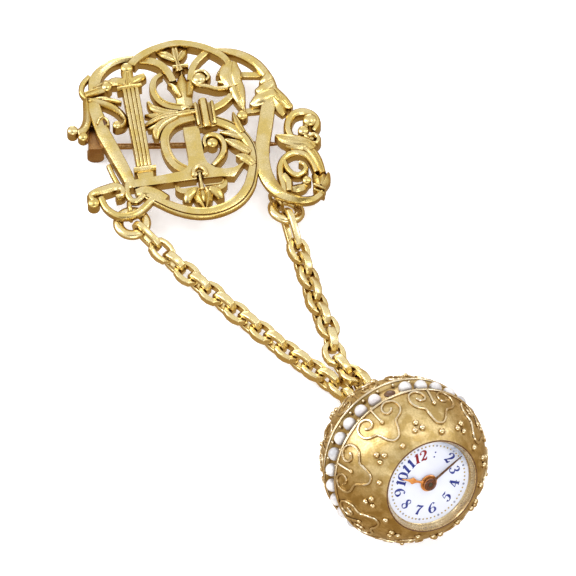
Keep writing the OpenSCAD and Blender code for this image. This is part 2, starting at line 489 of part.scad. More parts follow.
module front_shell() color(BALL_GOLD) in_ball() difference() {
    union() {
        difference() {
            sphere(ball_r);
            translate([0, 0, -2 * ball_r - split_z]) cylinder(h = 2 * ball_r, r = 2 * ball_r);
            translate([0, 0, -belt_z]) difference() {
                cylinder(h = 2 * belt_z, r = 2 * ball_r);
                translate([0, 0, -1]) cylinder(h = 2 * belt_z + 2, r = belt_r);
            }
        }
        translate([0, 0, -split_z - lip_depth]) cylinder(h = lip_depth + 1, r = lip_r);
        filigree();
        translate([0, 0, -2 * rail_z]) rotate_extrude() translate([0, rail_z])
            translate([sqrt(pow(ball_r, 2) - pow(rail_z, 2)) + 0.1, 0]) circle(wire_r, $fn = 16);
    }
    pearl_groove();
    intersection() {
        sphere(ball_r - shell_wall);
        translate([0, 0, split_z]) cylinder(h = seat_z - split_z, r = ball_r);
    }
    translate([0, 0, -split_z - lip_depth - 1]) cylinder(h = 2 * split_z + lip_depth + 2, r = sleeve_r);
    translate([0, 0, seat_z - 1]) cylinder(h = 2, r = movement_r + pearl_gap);
    translate([0, 0, dial_z - dial_t]) cylinder(h = ball_r, r = window_r);
}

module back_shell() color(BALL_GOLD) in_ball() difference() {
    union() {
        difference() {
            sphere(ball_r);
            sphere(ball_r - shell_wall);
            translate([0, 0, -split_z - split_gap]) cylinder(h = 2 * ball_r, r = 2 * ball_r);
        }
        intersection() {
            mirror([0, 0, 1]) filigree();
            translate([0, 0, -2 * ball_r - split_z - split_gap]) cylinder(h = 2 * ball_r, r = 2 * ball_r);
        }
        translate([0, 0, pendant_eye_z + 1]) cylinder(h = 2, r = pendant_collar_r);
        translate([0, 0, pendant_eye_z]) rotate([90, 0, 0])
            cylinder(h = pendant_t, r = pendant_eye_r, center = true);
    }
    translate([0, 0, -split_z - lip_depth - 2 * split_gap]) cylinder(h = 3, r = lip_r + split_gap);
    translate([0, 0, pendant_eye_z]) rotate([90, 0, 0]) cylinder(h = 3, r = pendant_hole, center = true);
}

module bezel() color(BALL_GOLD) in_ball() difference() {
    translate([0, 0, dial_z]) cylinder(h = bezel_top - dial_z, r = bezel_r);
    translate([0, 0, dial_z - 1]) cylinder(h = 4, r = bezel_hole);
    translate([0, 0, crystal_z]) cylinder(h = 4, r = crystal_r + pearl_gap);
}

module crystal() color([0.9, 0.95, 1, 0.3]) in_ball()
    translate([0, 0, crystal_z]) cylinder(h = crystal_t, r = crystal_r);

module dial() color(ENAMEL) in_ball() translate([0, 0, dial_z - dial_t]) difference() {
    cylinder(h = dial_t, r = dial_r);
    translate([0, 0, -1]) cylinder(h = 3, r = arbor_r + hand_gap);
}

module movement() color(STEEL) in_ball() union() {
    translate([0, 0, movement_low]) cylinder(h = dial_z - dial_t - movement_low, r = movement_r);
    cylinder(h = minute_z + 0.3, r = arbor_r);
}

module hand(z, hub_r, length, width, bulb, angle) in_ball()
    rotate([0, 0, twelve_angle - angle]) translate([0, 0, z]) difference() {
        union() {
            cylinder(h = hand_t, r = hub_r);
            linear_extrude(hand_t) polygon([[0, -width], [length, -width / 4], [length, width / 4], [0, width]]);
            translate([length * 0.6, 0, 0]) cylinder(h = hand_t, r = bulb);
        }
        translate([0, 0, -1]) cylinder(h = 3, r = arbor_r + hand_gap);
    }

module hour_hand() color(COPPER) hand(hour_z, hour_hub_r, hour_length, 0.22, 0.42, hour_angle);

module minute_hand() color(COPPER) hand(minute_z, minute_hub_r, minute_length, 0.2, 0.2, minute_angle);

module pearl(i) color(PEARL) in_ball() rotate([0, 0, first_pearl_angle + 360 * i / pearl_places])
    translate([pearl_ring_r, 0, 0]) sphere(pearl_r);

brooch_frame();
pin_hinge();
pin_catch();
pin_stem();
ring_left();
ring_right();
chain_left();
chain_right();
bow();
back_shell();
front_shell();
bezel();
crystal();
dial();
movement();
hour_hand();
minute_hand();
for (i = [1 : pearl_places - 1]) pearl(i);
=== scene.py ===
"""The looks of a pendant watch: a pierced scroll brooch, two belcher chains and a ball with a pearl belt."""

import math
import random

import bpy
from mathutils import Matrix, Vector


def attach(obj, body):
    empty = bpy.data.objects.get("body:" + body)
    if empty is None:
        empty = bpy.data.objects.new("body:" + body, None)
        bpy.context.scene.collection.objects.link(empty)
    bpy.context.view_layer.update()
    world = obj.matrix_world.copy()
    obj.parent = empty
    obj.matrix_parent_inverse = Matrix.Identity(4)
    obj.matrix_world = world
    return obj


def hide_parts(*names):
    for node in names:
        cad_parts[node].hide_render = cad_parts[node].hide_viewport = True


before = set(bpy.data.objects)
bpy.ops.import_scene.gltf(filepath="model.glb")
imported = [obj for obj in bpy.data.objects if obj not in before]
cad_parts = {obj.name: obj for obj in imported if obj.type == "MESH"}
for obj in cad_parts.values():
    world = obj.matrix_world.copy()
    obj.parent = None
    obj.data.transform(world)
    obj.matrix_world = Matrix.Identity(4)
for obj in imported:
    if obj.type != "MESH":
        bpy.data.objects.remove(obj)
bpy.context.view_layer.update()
bpy.ops.object.select_all(action="DESELECT")

MM = 0.001
# Points closer than this are welded, in millimetres
WELD = 0.001
seeded = random.Random(7)

# Places, as in the part: the plan's shift, the brooch's plane and the ball's axis, in millimetres
PLAN_SHIFT = Vector((1.58, 4.745, 0))
BROOCH_AT = Vector((-11.67, 23.37, 3.6))
BROOCH_TURN = 9
BALL_AT = Vector((16.13, -35.59, 11.96))
BALL_TILT = 61.75
BALL_TURN = -61.13


def turn(degrees, axis):
    return Matrix.Rotation(math.radians(degrees), 4, axis)


PLAN = Matrix.Translation(PLAN_SHIFT)
BROOCH = PLAN @ Matrix.Translation(BROOCH_AT) @ turn(BROOCH_TURN, "Z")
BALL = PLAN @ Matrix.Translation(BALL_AT) @ turn(BALL_TURN, "Z") @ turn(BALL_TILT, "Y")

# Cross sections of the scrolls: [across, up] as shares of the half width and of the height
SQUARE = [[-1, 0], [1, 0], [1, 1], [-1, 1]]
ROUND = [[-1, 0], [1, 0], [1, 0.62], [0.86, 0.82], [0.5, 0.96], [0, 1], [-0.5, 0.96], [-0.86, 0.82],
         [-1, 0.62]]
RIDGE = [[-1, 0], [1, 0], [1, 0.6], [0.92, 0.7], [0.05, 1], [-0.05, 1], [-0.92, 0.7], [-1, 0.6]]
LOW_RIDGE = [[-1, 0], [1, 0], [1, 0.78], [0.9, 0.86], [0, 1], [-0.9, 0.86], [-1, 0.78]]
FLAT = [[-1, 0], [1, 0], [1, 0.86], [0.86, 0.97], [0.4, 1], [-0.4, 1], [-0.86, 0.97], [-1, 0.86]]
RIM_LEFT = [[-1, 0], [1, 0], [1, 0.8], [0.86, 0.88], [0.3, 0.85], [-0.42, 0.88], [-0.5, 1], [-0.86, 1],
            [-1, 0.9]]
RIM_RIGHT = [[-across, up] for across, up in reversed(RIM_LEFT)]
GROOVED = [[-0.3, 0], [0.3, 0], [1, 0.5], [1, 0.8], [0.84, 0.92], [0.66, 0.94], [0.58, 0.82], [0.48, 0.82],
           [0.4, 0.96], [-0.5, 1], [-0.88, 0.92], [-1, 0.8], [-1, 0.5]]
STEM = [[-0.3, 0], [0.3, 0], [1, 0.42], [1, 0.7], [0.92, 0.78], [0.1, 1], [0, 1], [-0.92, 0.8], [-1, 0.72],
        [-1, 0.42]]
VEINED = [[-1, 0], [1, 0], [1, 0.6], [0.84, 0.84], [0.5, 0.97], [0.2, 1], [0.1, 0.93], [-0.1, 0.93],
          [-0.2, 0.98], [-0.5, 0.97], [-0.84, 0.84], [-1, 0.6]]
FLUTES = 4
FLUTE_POINTS = 32
FLUTED = [[-1, 0], [1, 0], [1, 0.8]]
for k in range(FLUTE_POINTS + 1):
    share = k / FLUTE_POINTS
    FLUTED.append([0.97 - 1.94 * share, 0.9 + 0.1 * math.sqrt(abs(math.sin(math.pi * FLUTES * share)))])
FLUTED.append([-1, 0.8])

# Scrolls of the brooch: lower and upper face as shares of its thickness, section, how much of the height is
# left at each end, and the centre line in the brooch's plane as rows of [along, up, width]
SCROLLS = {
    "outer_arc_left": (0, 0.9, LOW_RIDGE, (1, 1),
        [[-14.4, 8.6, 1.8], [-14.2, 10.2, 1.8], [-13.2, 11.7, 1.5], [-11.5, 12.8, 1.2], [-9.8, 13.2, 1],
         [-8.2, 13.2, 0.9]]),
    "top_arc": (0, 1, RIM_LEFT, (1, 1),
        [[-8.7, 12, 1.3], [-7.6, 13, 1.3], [-6, 13.8, 1.3], [-4, 14.38, 1.2], [-2, 14.58, 1.2],
         [0, 14.1, 1.2], [2, 13.2, 1.2], [3.6, 12, 1.2], [4.6, 10.8, 1.1], [4.9, 9.6, 0.9]]),
    "palmette_stem": (0, 1.1, VEINED, (1, 0.7),
        [[-2.1, 9.8, 1.5], [-2.25, 11.3, 0.8], [-2.3, 12.6, 1.4], [-2.3, 13.8, 1.3], [-2.3, 14.9, 0.4]]),
    "palmette_left": (0.2, 1.05, VEINED, (1, 0.6),
        [[-2.4, 11.6, 0.8], [-3.2, 12.4, 1.3], [-4, 13.1, 1.4], [-4.7, 13.6, 0.6]]),
    "palmette_right": (0.2, 1.05, VEINED, (1, 0.6),
        [[-2.1, 11.6, 0.8], [-1.5, 12.4, 1.2], [-1, 13.1, 1.1], [-0.8, 13.7, 0.5]]),
    "trunk": (0, 0.95, RIDGE, (1, 0.9),
        [[-1.9, 9.7, 0.5], [-2, 8.6, 1.4], [-2.1, 7, 2.2], [-2.2, 5, 2.3], [-2.1, 3.6, 2.4]]),
    "trunk_left": (0.1, 1.02, RIDGE, (1, 0.8),
        [[-2.6, 5.6, 1], [-3, 7, 1.2], [-3.5, 7.8, 1], [-4.1, 8.2, 0.5]]),
    "trunk_right": (0.1, 1, RIDGE, (1, 0.8),
        [[-1.5, 5.6, 1], [-1.2, 7, 1.2], [-0.9, 8, 1], [-0.5, 8.7, 0.5]]),
    "palmette_ring": (0, 1.05, ROUND, (1, 1), [[-3, 10.6, 0.7], [-0.8, 10.6, 0.7]]),
    "upper_c": (0, 0.88, RIM_RIGHT, (1, 1),
        [[-4.7, 9.9, 0.7], [-5.8, 9.2, 0.9], [-6.3, 7.8, 1], [-6, 6.2, 1], [-5, 4.9, 1], [-3.6, 4.2, 1],
         [-1.6, 3.7, 1]]),
    "inner_sweep": (0, 0.95, RIM_LEFT, (0.8, 1),
        [[-7.6, 12.7, 1.1], [-6.2, 12.4, 1.3], [-4.7, 11.4, 1.3], [-3.8, 10, 1.2], [-3.3, 8.4, 1.1]]),
    "wrap_loop": (0.3, 0.8, ROUND, (1, 1),
        [[-14.8, 11.2, 0.8], [-15.9, 10.2, 0.8], [-16.3, 9, 0.8], [-15.9, 7.9, 0.8], [-15, 7.1, 0.7]]),
    "left_s": (0, 0.98, RIDGE, (1, 1),
        [[-15.4, 7.2, 1.1], [-14, 6.7, 1.2], [-12.6, 5.8, 1.2], [-11.5, 4.6, 1.1], [-11, 3.2, 1],
         [-11.4, 2.3, 0.9], [-12.3, 2.1, 0.8]]),
    "left_twig": (0.3, 1, RIDGE, (1, 0.7), [[-13.9, 6.9, 0.6], [-12.6, 6.7, 0.8], [-11, 6.2, 0.5]]),
    "left_foot": (0, 0.9, RIDGE, (1, 1),
        [[-15.8, 7.4, 1.1], [-16, 5.4, 1.2], [-16.3, 3.8, 1.3], [-17, 2.6, 1.3], [-17.9, 2.2, 1.1]]),
    "left_leg": (0, 1, LOW_RIDGE, (1, 1),
        [[-14.5, 2.3, 1.9], [-14.2, 1, 2], [-13.6, -1, 1.95], [-13, -3, 1.9], [-12.4, -5, 1.8],
         [-11.9, -7, 1.6], [-11.8, -8.4, 1.2]]),
    "leg_top": (0, 0.78, FLAT, (1, 1),
        [[-15, 7.2, 1.6], [-14.9, 5.4, 1.9], [-14.6, 3.6, 2], [-14.4, 2, 1.9]]),
    "leg_rim": (0, 0.98, ROUND, (1, 1),
        [[-15, 2.9, 0.5], [-14.6, 3.7, 0.5], [-13.9, 3.8, 0.5], [-13.4, 3.2, 0.5], [-13.5, 2.4, 0.5]]),
    "d_bow": (0, 0.85, RIM_RIGHT, (1, 1),
        [[-1.2, 2.1, 1.3], [-3, 1.9, 1.35], [-4.6, 1.2, 1.35], [-5.7, -0.2, 1.35], [-6, -2, 1.35],
         [-5.7, -3.9, 1.35], [-4.9, -5.4, 1.35], [-3.4, -6.6, 1.3]]),
    "spray_stem": (0, 0.95, VEINED, (1, 0.6),
        [[-1, 2.9, 0.9], [-3.4, 2.9, 1.1], [-5.8, 2.8, 1.1], [-7.6, 2.3, 0.8], [-8.6, 1.8, 0.4]]),
    "spray_up": (0.1, 0.96, VEINED, (1, 0.7),
        [[-3.4, 3.1, 0.9], [-5.4, 3.6, 1.3], [-6.8, 4.6, 1.2], [-7.3, 5.8, 0.5]]),
    "spray_down": (0.1, 0.94, VEINED, (1, 0.7),
        [[-3.6, 2.6, 0.9], [-5.6, 1.9, 1.3], [-6.8, 0.8, 1.5], [-7, -0.6, 0.7]]),
    "spray_mid": (0.1, 0.9, RIDGE, (1, 0.7), [[-4.6, 3.1, 0.8], [-6.4, 3.3, 1.1], [-8.1, 3.7, 0.5]]),
    "spray_curl": (0, 0.9, RIDGE, (1, 0.7), [[-5.2, 2.2, 0.8], [-6.5, 1.6, 1.1], [-8, 1.3, 0.6]]),
    "right_band": (0, 0.8, FLAT, (1, 1), [[1.2, 3, 1.1], [3, 3.7, 1.1], [4.5, 4.9, 1]]),
    "trunk_band": (0, 0.85, FLAT, (1, 1), [[-0.9, 8.2, 0.9], [-0.4, 9.8, 1], [0.5, 11.2, 1], [2.2, 12.6, 1]]),
    "snail": (0, 0.92, ROUND, (1, 1),
        [[4.2, 6.3, 0.8], [2.8, 6.2, 0.8], [1.4, 6.8, 0.8], [0, 7.4, 0.8], [-0.6, 8.4, 0.8],
         [0.1, 9.4, 0.7], [1.2, 9.4, 0.7], [1.8, 8.5, 0.7], [1.3, 7.8, 0.6]]),
    "outer_arc_right": (0, 0.88, ROUND, (1, 1),
        [[3.4, 12.7, 0.9], [5.5, 12.2, 1.2], [7.2, 11.3, 1.4], [8.6, 10, 1.5], [9.6, 8.4, 1.5],
         [10.3, 6.4, 1.5], [10.5, 4, 1.5]]),
    "bar_upper": (0, 0.45, FLAT, (1, 1), [[5.9, 8.6, 0.9], [9.4, 8, 0.9]]),
    "bar_lower": (0, 0.45, FLAT, (1, 1), [[5.4, 2.4, 0.9], [8.8, 2.3, 0.9]]),
    "long_stem": (0, 1, STEM, (1, 1),
        [[10.3, 4.4, 1.6], [9.4, 2.4, 2], [8.7, 0, 2.1], [8, -2.4, 2.1], [7.3, -5, 2.1], [7.1, -7.6, 2.1],
         [7.5, -10, 2], [8.5, -12, 1.8], [9.9, -13.2, 1.45], [11.5, -13.95, 1.25], [13.2, -14, 1.1],
         [14.6, -13.1, 1]]),
    "curl_high": (0, 0.9, ROUND, (1, 1),
        [[11.8, -3.5, 1.1], [11.5, -2, 1.2], [11.8, -0.6, 1.25], [12.6, 0.4, 1.3], [13.8, 0.7, 1.3],
         [14.9, 0.3, 1.25], [15.6, -0.6, 1.2], [15.7, -1.8, 1.1], [15, -2.8, 0.9]]),
    "curl_stem": (0, 0.95, VEINED, (1, 1),
        [[12.6, -4.6, 1.3], [14, -5.8, 1.5], [14.8, -7.6, 1.4], [15.2, -10, 1]]),
    "curl_low": (0, 0.86, ROUND, (1, 1),
        [[9.3, -12.7, 1.1], [9.4, -11, 1.1], [9.3, -9.2, 1.1], [9.6, -7.5, 1.1], [10.6, -6.3, 1.1],
         [12, -5.9, 1.1], [13.3, -6.5, 1.1], [14.1, -7.9, 1.1], [14.4, -9.6, 1]]),
    "curl_inner": (0, 0.8, ROUND, (1, 1),
        [[10.1, -6.9, 0.9], [10.4, -8.3, 0.95], [11, -9.3, 1], [12, -9.6, 1], [12.9, -8.9, 0.95],
         [12.8, -8, 0.8], [12.2, -7.6, 0.7]]),
    "lower_sweep": (0, 0.96, GROOVED, (1, 1),
        [[1.4, 1.1, 1.5], [3.1, 0.1, 1.6], [4.4, -1.1, 1.6], [5.4, -2.7, 1.5], [5.95, -4.6, 1.4],
         [5.9, -6.6, 1.4], [5.4, -8.6, 1.6], [4.6, -10.6, 1.75], [3.1, -12.4, 1.8], [1, -13.55, 1.8],
         [-1.5, -14, 1.8], [-4, -13.6, 1.8], [-6.3, -12.5, 1.7], [-8.2, -11.1, 1.6], [-9.8, -9.8, 1.4]]),
    "sweep_leaf_high": (0.1, 1, VEINED, (1, 0.8),
        [[5.1, -2.6, 1.2], [4, -1.8, 1.3], [2.9, -1.3, 1], [1.9, -1, 0.4]]),
    "sweep_leaf_mid": (0.1, 1.08, VEINED, (1, 0.8),
        [[5.6, -5.2, 1.2], [4.6, -4.1, 1.6], [3.6, -3.2, 1.5], [2.5, -2.4, 0.4]]),
    "sweep_leaf_low": (0.1, 1.06, VEINED, (1, 0.8),
        [[5.8, -7.3, 1.2], [5.2, -6.3, 1.7], [4.4, -5.6, 1.5], [3.6, -5.2, 0.5]]),
    "roll_stem": (0, 1.02, VEINED, (1, 0.8),
        [[5.1, -1.7, 1.2], [4.7, -0.4, 1.3], [4.4, 0.9, 1], [4.3, 2, 0.4]]),
    "six": (0, 0.9, ROUND, (1, 1),
        [[0.1, -6.3, 0.9], [1.1, -5.4, 1.1], [1.9, -4.3, 1.2], [2.2, -3, 1.15], [1.8, -1.8, 1.1],
         [0.8, -1.2, 1], [-0.1, -1.4, 0.9], [-0.5, -2.2, 0.8], [-0.35, -3.1, 0.8]]),
    "low_u": (0.45, 0.95, ROUND, (1, 1),
        [[-16.3, -9.2, 0.9], [-15.8, -11, 1], [-14.7, -12.3, 1.05], [-13.3, -12.8, 1.1],
         [-11.8, -12.6, 1.1], [-10.5, -11.8, 1.1], [-9.2, -10.6, 1.1]]),
    "low_scroll": (0, 1, ROUND, (1, 1),
        [[-17.4, -9.6, 1], [-17.7, -8.7, 1.1], [-16.8, -8.2, 1.4], [-15.3, -7.9, 1.6], [-13.9, -7.7, 1.5],
         [-13.1, -8.4, 1.2], [-13.3, -9.3, 1], [-14.2, -9.5, 0.8]]),
    "low_hook": (0.45, 0.95, ROUND, (1, 1),
        [[-12.2, -7.4, 1], [-12.5, -9, 0.9], [-12.1, -10.3, 0.9], [-11.2, -10.5, 0.9], [-10.3, -9.7, 1]]),
    "rear_rod": (0, 0.4, ROUND, (1, 1), [[-14.3, -3.4, 0.7], [-13.9, -5.2, 0.7], [-13.2, -7.6, 0.7]]),
    "fleur_stem": (0, 1.06, ROUND, (1, 1), [[-2, -7.5, 0.6], [-2, -8.8, 0.6], [-2, -10.2, 1]]),
    "crescent": (0, 0.85, RIDGE, (0.7, 0.7),
        [[9.6, -11.2, 0.9], [10.9, -11.7, 1.4], [12.2, -11.5, 1.3], [12.9, -10.3, 0.7]]),
    "right_leaf_rib": (0, 1.08, VEINED, (0.7, 1),
        [[9.6, -2.6, 0.5], [10.7, -3.4, 1.9], [12.2, -4.2, 2.2], [13.8, -4.8, 1.8], [14.6, -5.9, 1.3]]),
    "right_leaf_low": (0, 0.98, RIDGE, (0.7, 1), [[10.8, -4.6, 0.7], [12, -5, 1.2], [13.6, -5.4, 1.4]]),
    "curl_side": (0, 0.95, ROUND, (1, 1), [[9.7, -9.4, 1], [10.2, -10.7, 1.3], [10, -12.2, 1]]),
    "curl_eye": (0, 0.95, ROUND, (1, 1),
        [[14.1, -3.7, 0.7], [15, -3.5, 0.8], [15.5, -4.2, 0.8], [15.1, -5, 0.8], [14.4, -4.8, 0.6]]),
    "hook_arch": (0.3, 1.12, ROUND, (1, 1),
        [[-2.75, -7.8, 0.7], [-2.75, -7, 0.8], [-2, -6.45, 0.8], [-1.25, -7, 0.8], [-1.15, -7.8, 0.7]]),
    "low_joint": (0, 0.99, ROUND, (1, 1),
        [[-11.3, -9.2, 1.3], [-9.9, -9.1, 2], [-8.3, -9.9, 1.9], [-7.2, -10.9, 1.6]]),
    "knot_top": (0, 0.98, ROUND, (1, 0.8), [[10.3, 7.3, 1.5], [9.8, 6.7, 1.8], [8.9, 6.2, 1]]),
    "curl_heart": (0, 0.85, ROUND, (1, 1),
        [[14.8, -4.2, 0.8], [13.8, -3.4, 0.9], [13.8, -2.4, 0.9], [14.4, -1.4, 0.9]]),
    "leaf_top": (0, 1.08, VEINED, (0.9, 0.9),
        [[5.4, 10.3, 1.8], [5, 9.2, 3.1], [4.8, 7.8, 3.4], [5, 6.2, 2.4]]),
    "leaf_drop": (0, 0.96, VEINED, (1, 0.6),
        [[5.3, 7.2, 2.2], [5.4, 5.8, 2.4], [5.6, 4, 1.7], [5.9, 2.1, 0.4]]),
    "leaf_curl_high": (0, 0.95, RIDGE, (1, 0.8), [[4.8, 9.1, 1], [3.7, 9.1, 0.9], [3, 8.4, 0.5]]),
    "leaf_curl_low": (0, 0.98, ROUND, (1, 0.8), [[5, 7.6, 1.2], [3.9, 7.1, 1], [3, 7.5, 0.6]]),
    "leaf_barb": (0, 0.85, RIDGE, (1, 0.7), [[5, 5.7, 0.9], [4.4, 5, 0.9], [4.3, 4.1, 0.4]]),
    "wrap_band": (0, 1.06, VEINED, (1, 0.8),
        [[-15.9, 8, 1.1], [-14.5, 8.3, 1.3], [-13.3, 8.7, 1.5], [-12.7, 9, 1.3]]),
    "wrap_high": (0, 1, RIDGE, (1, 0.7), [[-14.5, 8.9, 1], [-13.3, 9.4, 1], [-12.2, 9.7, 0.5]]),
    "wrap_low": (0, 0.98, RIDGE, (1, 0.7),
        [[-15.6, 6.9, 0.8], [-14, 7.2, 1.1], [-12.6, 6.9, 1], [-11.5, 6.3, 0.6]]),
    "knot_high": (0, 1, ROUND, (1, 0.8), [[10.6, 6, 1.4], [9.6, 5.4, 2.1], [8.1, 4.9, 1.3]]),
    "knot_low": (0, 1.04, ROUND, (1, 0.7), [[10.6, 4.2, 2.1], [9.4, 3.9, 2.5], [8, 3.4, 2], [7, 2.9, 0.9]]),
    "knot_right": (0, 1.02, VEINED, (1, 0.7),
        [[10.4, 4.6, 1.9], [11.3, 3.2, 1.9], [12.1, 2.2, 1.5], [12.7, 1.8, 0.9]]),
    "knot_barb": (0, 0.95, RIDGE, (1, 0.6), [[10.3, 3.4, 1.6], [11, 1.9, 1.6], [11.5, 0.8, 0.9]]),
    "flower_left": (0, 0.95, RIDGE, (1, 0.7), [[14.4, -12.3, 1], [14.4, -11, 1.5], [14, -9.6, 0.8]]),
    "flower_mid": (0, 1.02, RIDGE, (1, 0.7), [[14.6, -12.1, 1.1], [15, -10.9, 1.6], [15.3, -9.8, 0.8]]),
    "flower_right": (0, 0.95, RIDGE, (1, 0.7), [[14.7, -12.2, 1], [15.5, -11, 1.3], [16.05, -9.8, 0.5]]),
    "flower_ring": (0, 1.06, ROUND, (1, 1), [[13.6, -11.9, 0.55], [15.1, -12.9, 0.55]]),
    "flower_ring_low": (0, 1, ROUND, (1, 1), [[13.5, -12.6, 0.45], [14.9, -13.5, 0.45]]),
    "fleur_mid": (0, 0.9, ROUND, (1, 0.7), [[-2, -9.8, 0.9], [-2, -11, 0.9], [-2, -12.6, 0.5]]),
    "capital_slab": (0, 1.06, ROUND, (1, 1), [[-11.3, 8.2, 0.8], [-7.8, 8.35, 0.8]]),
    "capital_mid": (0, 0.96, VEINED, (1, 1), [[-9.6, 8.6, 2.2], [-9.5, 10.2, 1.8], [-9.4, 11.4, 1.4]]),
    "capital_left": (0, 1, ROUND, (1, 0.7),
        [[-10, 9.2, 1.6], [-11.2, 9.6, 1.6], [-12.3, 9.6, 1.3], [-12.9, 10.1, 0.9]]),
    "capital_right": (0, 0.98, ROUND, (1, 0.9), [[-9.2, 9.2, 1.5], [-8.2, 9.6, 1.4], [-7.1, 10.1, 1]]),
    "shaft": (0, 0.98, FLUTED, (1, 1), [[-9.47, -5.1, 2.1], [-9.46, 1.5, 2.25], [-9.45, 8.3, 2.4]]),
    "base_ring": (0, 1.1, ROUND, (1, 1), [[-11, -5.55, 1], [-7.9, -5.55, 1]]),
    "base_block": (0, 0.8, FLAT, (1, 1), [[-9.5, -5.8, 2.6], [-9.5, -6.6, 2.4], [-9.5, -7.4, 2.3]]),
    "box_mid": (0, 1.16, ROUND, (1, 1), [[0.3, -0.1, 1.35], [0.3, 4.6, 1.35]]),
    "box_left": (0, 1.06, ROUND, (1, 1), [[-0.8, 0.45, 0.62], [-0.8, 4.2, 0.62]]),
    "box_right": (0, 1.06, ROUND, (1, 1), [[1.55, 0.3, 0.62], [1.55, 4.1, 0.62]])}
# The left petals of the lower flower, which are mirrored about its axis
PETALS = {
    "fleur_high": (0, 0.95, RIM_RIGHT, (1, 0.8),
        [[-2.5, -9.9, 0.9], [-3.6, -9.95, 1], [-4.6, -10, 1.1], [-5.3, -9.5, 0.9], [-5.4, -8.8, 0.5]]),
    "fleur_out": (0, 1, ROUND, (1, 0.8), [[-3, -10.2, 1.2], [-4.1, -10.8, 1.6], [-4.4, -11.9, 1.1]]),
    "fleur_down": (0, 1.04, RIDGE, (1, 0.8),
        [[-2.5, -10, 1.1], [-2.75, -11.1, 1.35], [-2.3, -12.7, 0.9], [-2, -13.5, 0.3]])}
FLOWER_AXIS = -2

# The flat bar with its notch, and the plate under the box collar, each an outline with its two faces
T_BAR = [[-12, -8.3], [-11.8, -7.1], [-8, -6.95], [-4.4, -6.7], [-3.4, -6], [-3.1, -4.6], [-3.1, 0.4],
         [-0.9, 0.4], [-0.9, -4.6], [-0.6, -5.8], [0.4, -6.8], [1.6, -7.2], [3, -7.2], [4.6, -6.5],
         [2.8, -8.7], [1, -8.4], [-1.5, -8.3], [-1.45, -7.6], [-1.7, -7.15], [-2.3, -7.15], [-2.55, -7.6],
         [-2.5, -8.3]]
T_BAR_FACES = (0.01, 0.88)
BOX_PLATE = [[-0.96, 0.15], [1.78, 0.15], [1.78, 4.2], [-0.96, 4.2]]
BOX_PLATE_FACES = (0.015, 0.8)

# Round knobs and rolled ends: [along, up, radius, top as a share of the thickness]
KNOBS = [[-9.4, 11.6, 0.9, 1.05], [-18.55, 2.5, 0.79, 1], [-17.2, 1.5, 0.75, 0.8], [-12.2, 2.4, 0.65, 1],
         [-12.7, 8.9, 0.8, 1.1], [0.4, 8.2, 1, 1.1], [5.5, 1.3, 0.8, 1], [0.6, -2.6, 0.8, 1],
         [14.8, -1, 1.05, 1.08], [13.6, -2.6, 0.8, 1], [12.8, -10.8, 0.65, 0.95], [-17.4, -9.8, 0.9, 0.98],
         [-2.7, -7.6, 0.45, 1.1], [-1.2, -7.7, 0.45, 1.1]]
KNOB_DOME = 0.6
FRAME_T = 2
FRAME_EDGE = 0.09
# Scrolls are lifted by a few steps of this size, so that the tops of two that cross don't share a plane
LIFT_STEP = 0.012
# Share of a scroll's length over which its height falls off at an end
FALL = 0.4
# Ring eyes behind the brooch, each with its place and turn, and a dark disc in the left leg: painted shade of
# its hollow
EYES = [((-12.5, -11.35, 0.3), 0), ((8.2, -12.15, -0.9), 33)]
EYE_MIDDLE = 1.29
EYE_WIRE = 0.3
HOLLOW_AT = (-14.2, 3.05, 0.8 * FRAME_T)
HOLLOW_R = 0.52
HOLLOW_T = 0.1
HOLLOW_EDGE = 0.03
HINGE_EDGE = 0.45
CATCH_EDGE = 0.15

# Jump rings and chains: link sizes, and each link's middle and roll about its length
RING_MIDDLE = 1.94
RING_WIRE = 0.76
RING_FLATNESS = 0.8
RING_LEFT = Matrix.Translation((-21.94, 8.28, 3.9))
RING_RIGHT = Matrix.Translation((-0.25, 11.12, 2.8)) @ turn(51, "Z") @ turn(20, "Y")
LINK_L = 4.15
SHORT_LINK_L = 4.1
FIRST_LEFT_L = 5.4
FIRST_RIGHT_L = 6.6
LINK_W = 3.25
LINK_WIRE = 0.78
LINK_BAND = 1.18
LINK_END_BAND = 0.8
FIRST_BAND = 0.9
LINK_STEPS = 5
LINK_EDGE = 0.05
# Cross section of a link's band: [outwards, across] as shares of its half thickness and half breadth
LINK_SECTION = [[-1, -0.8], [-0.8, -1], [0.7, -1], [1, -0.74], [1, 0.74], [0.7, 1], [-0.8, 1], [-1, 0.8]]
LEFT_START = [[-19.85, 6.4, 3.5, 90], [-17.75, 4.55, 2.55, -3], [-16, 2.95, 1.9, 87]]
LEFT_ROUTE = [[-14.2, 1.26], [-7.05, -5.4], [0, -11.7], [7.38, -17.8]]
LEFT_RUN = 13
LEFT_PITCH = 2.395
LEFT_TWIST = -1.45
LEFT_Z = 1.74
LEFT_END = [[8.57, -19.77, 1.86, 75]]
LEFT_HOOKS = [[-20.75, 7.25, 3.95], [8.9, -20.6, 1.9]]
RIGHT_LINKS = [
    [0.42, 7.93, 2.72, 71], [1.44, 4.92, 2.02, -22], [2.13, 2.77, 1.73, 64], [2.8, 0.7, 1.74, -32],
    [3.4, -1.5, 1.74, 58], [4, -3.65, 1.78, -28], [4.7, -5.75, 1.95, 66], [5.55, -7.8, 2.15, -18],
    [6.05, -9.95, 2.1, 76], [6.45, -12.1, 1.85, -8], [7.6, -14.1, 1.79, 84], [8.93, -15.77, 2.27, -13],
    [10.4, -17.37, 2.85, 70], [11.27, -19.4, 2.5, -35]]
RIGHT_HOOKS = [[0.2, 9.3, 3.4], [11, -19.93, 2.3]]

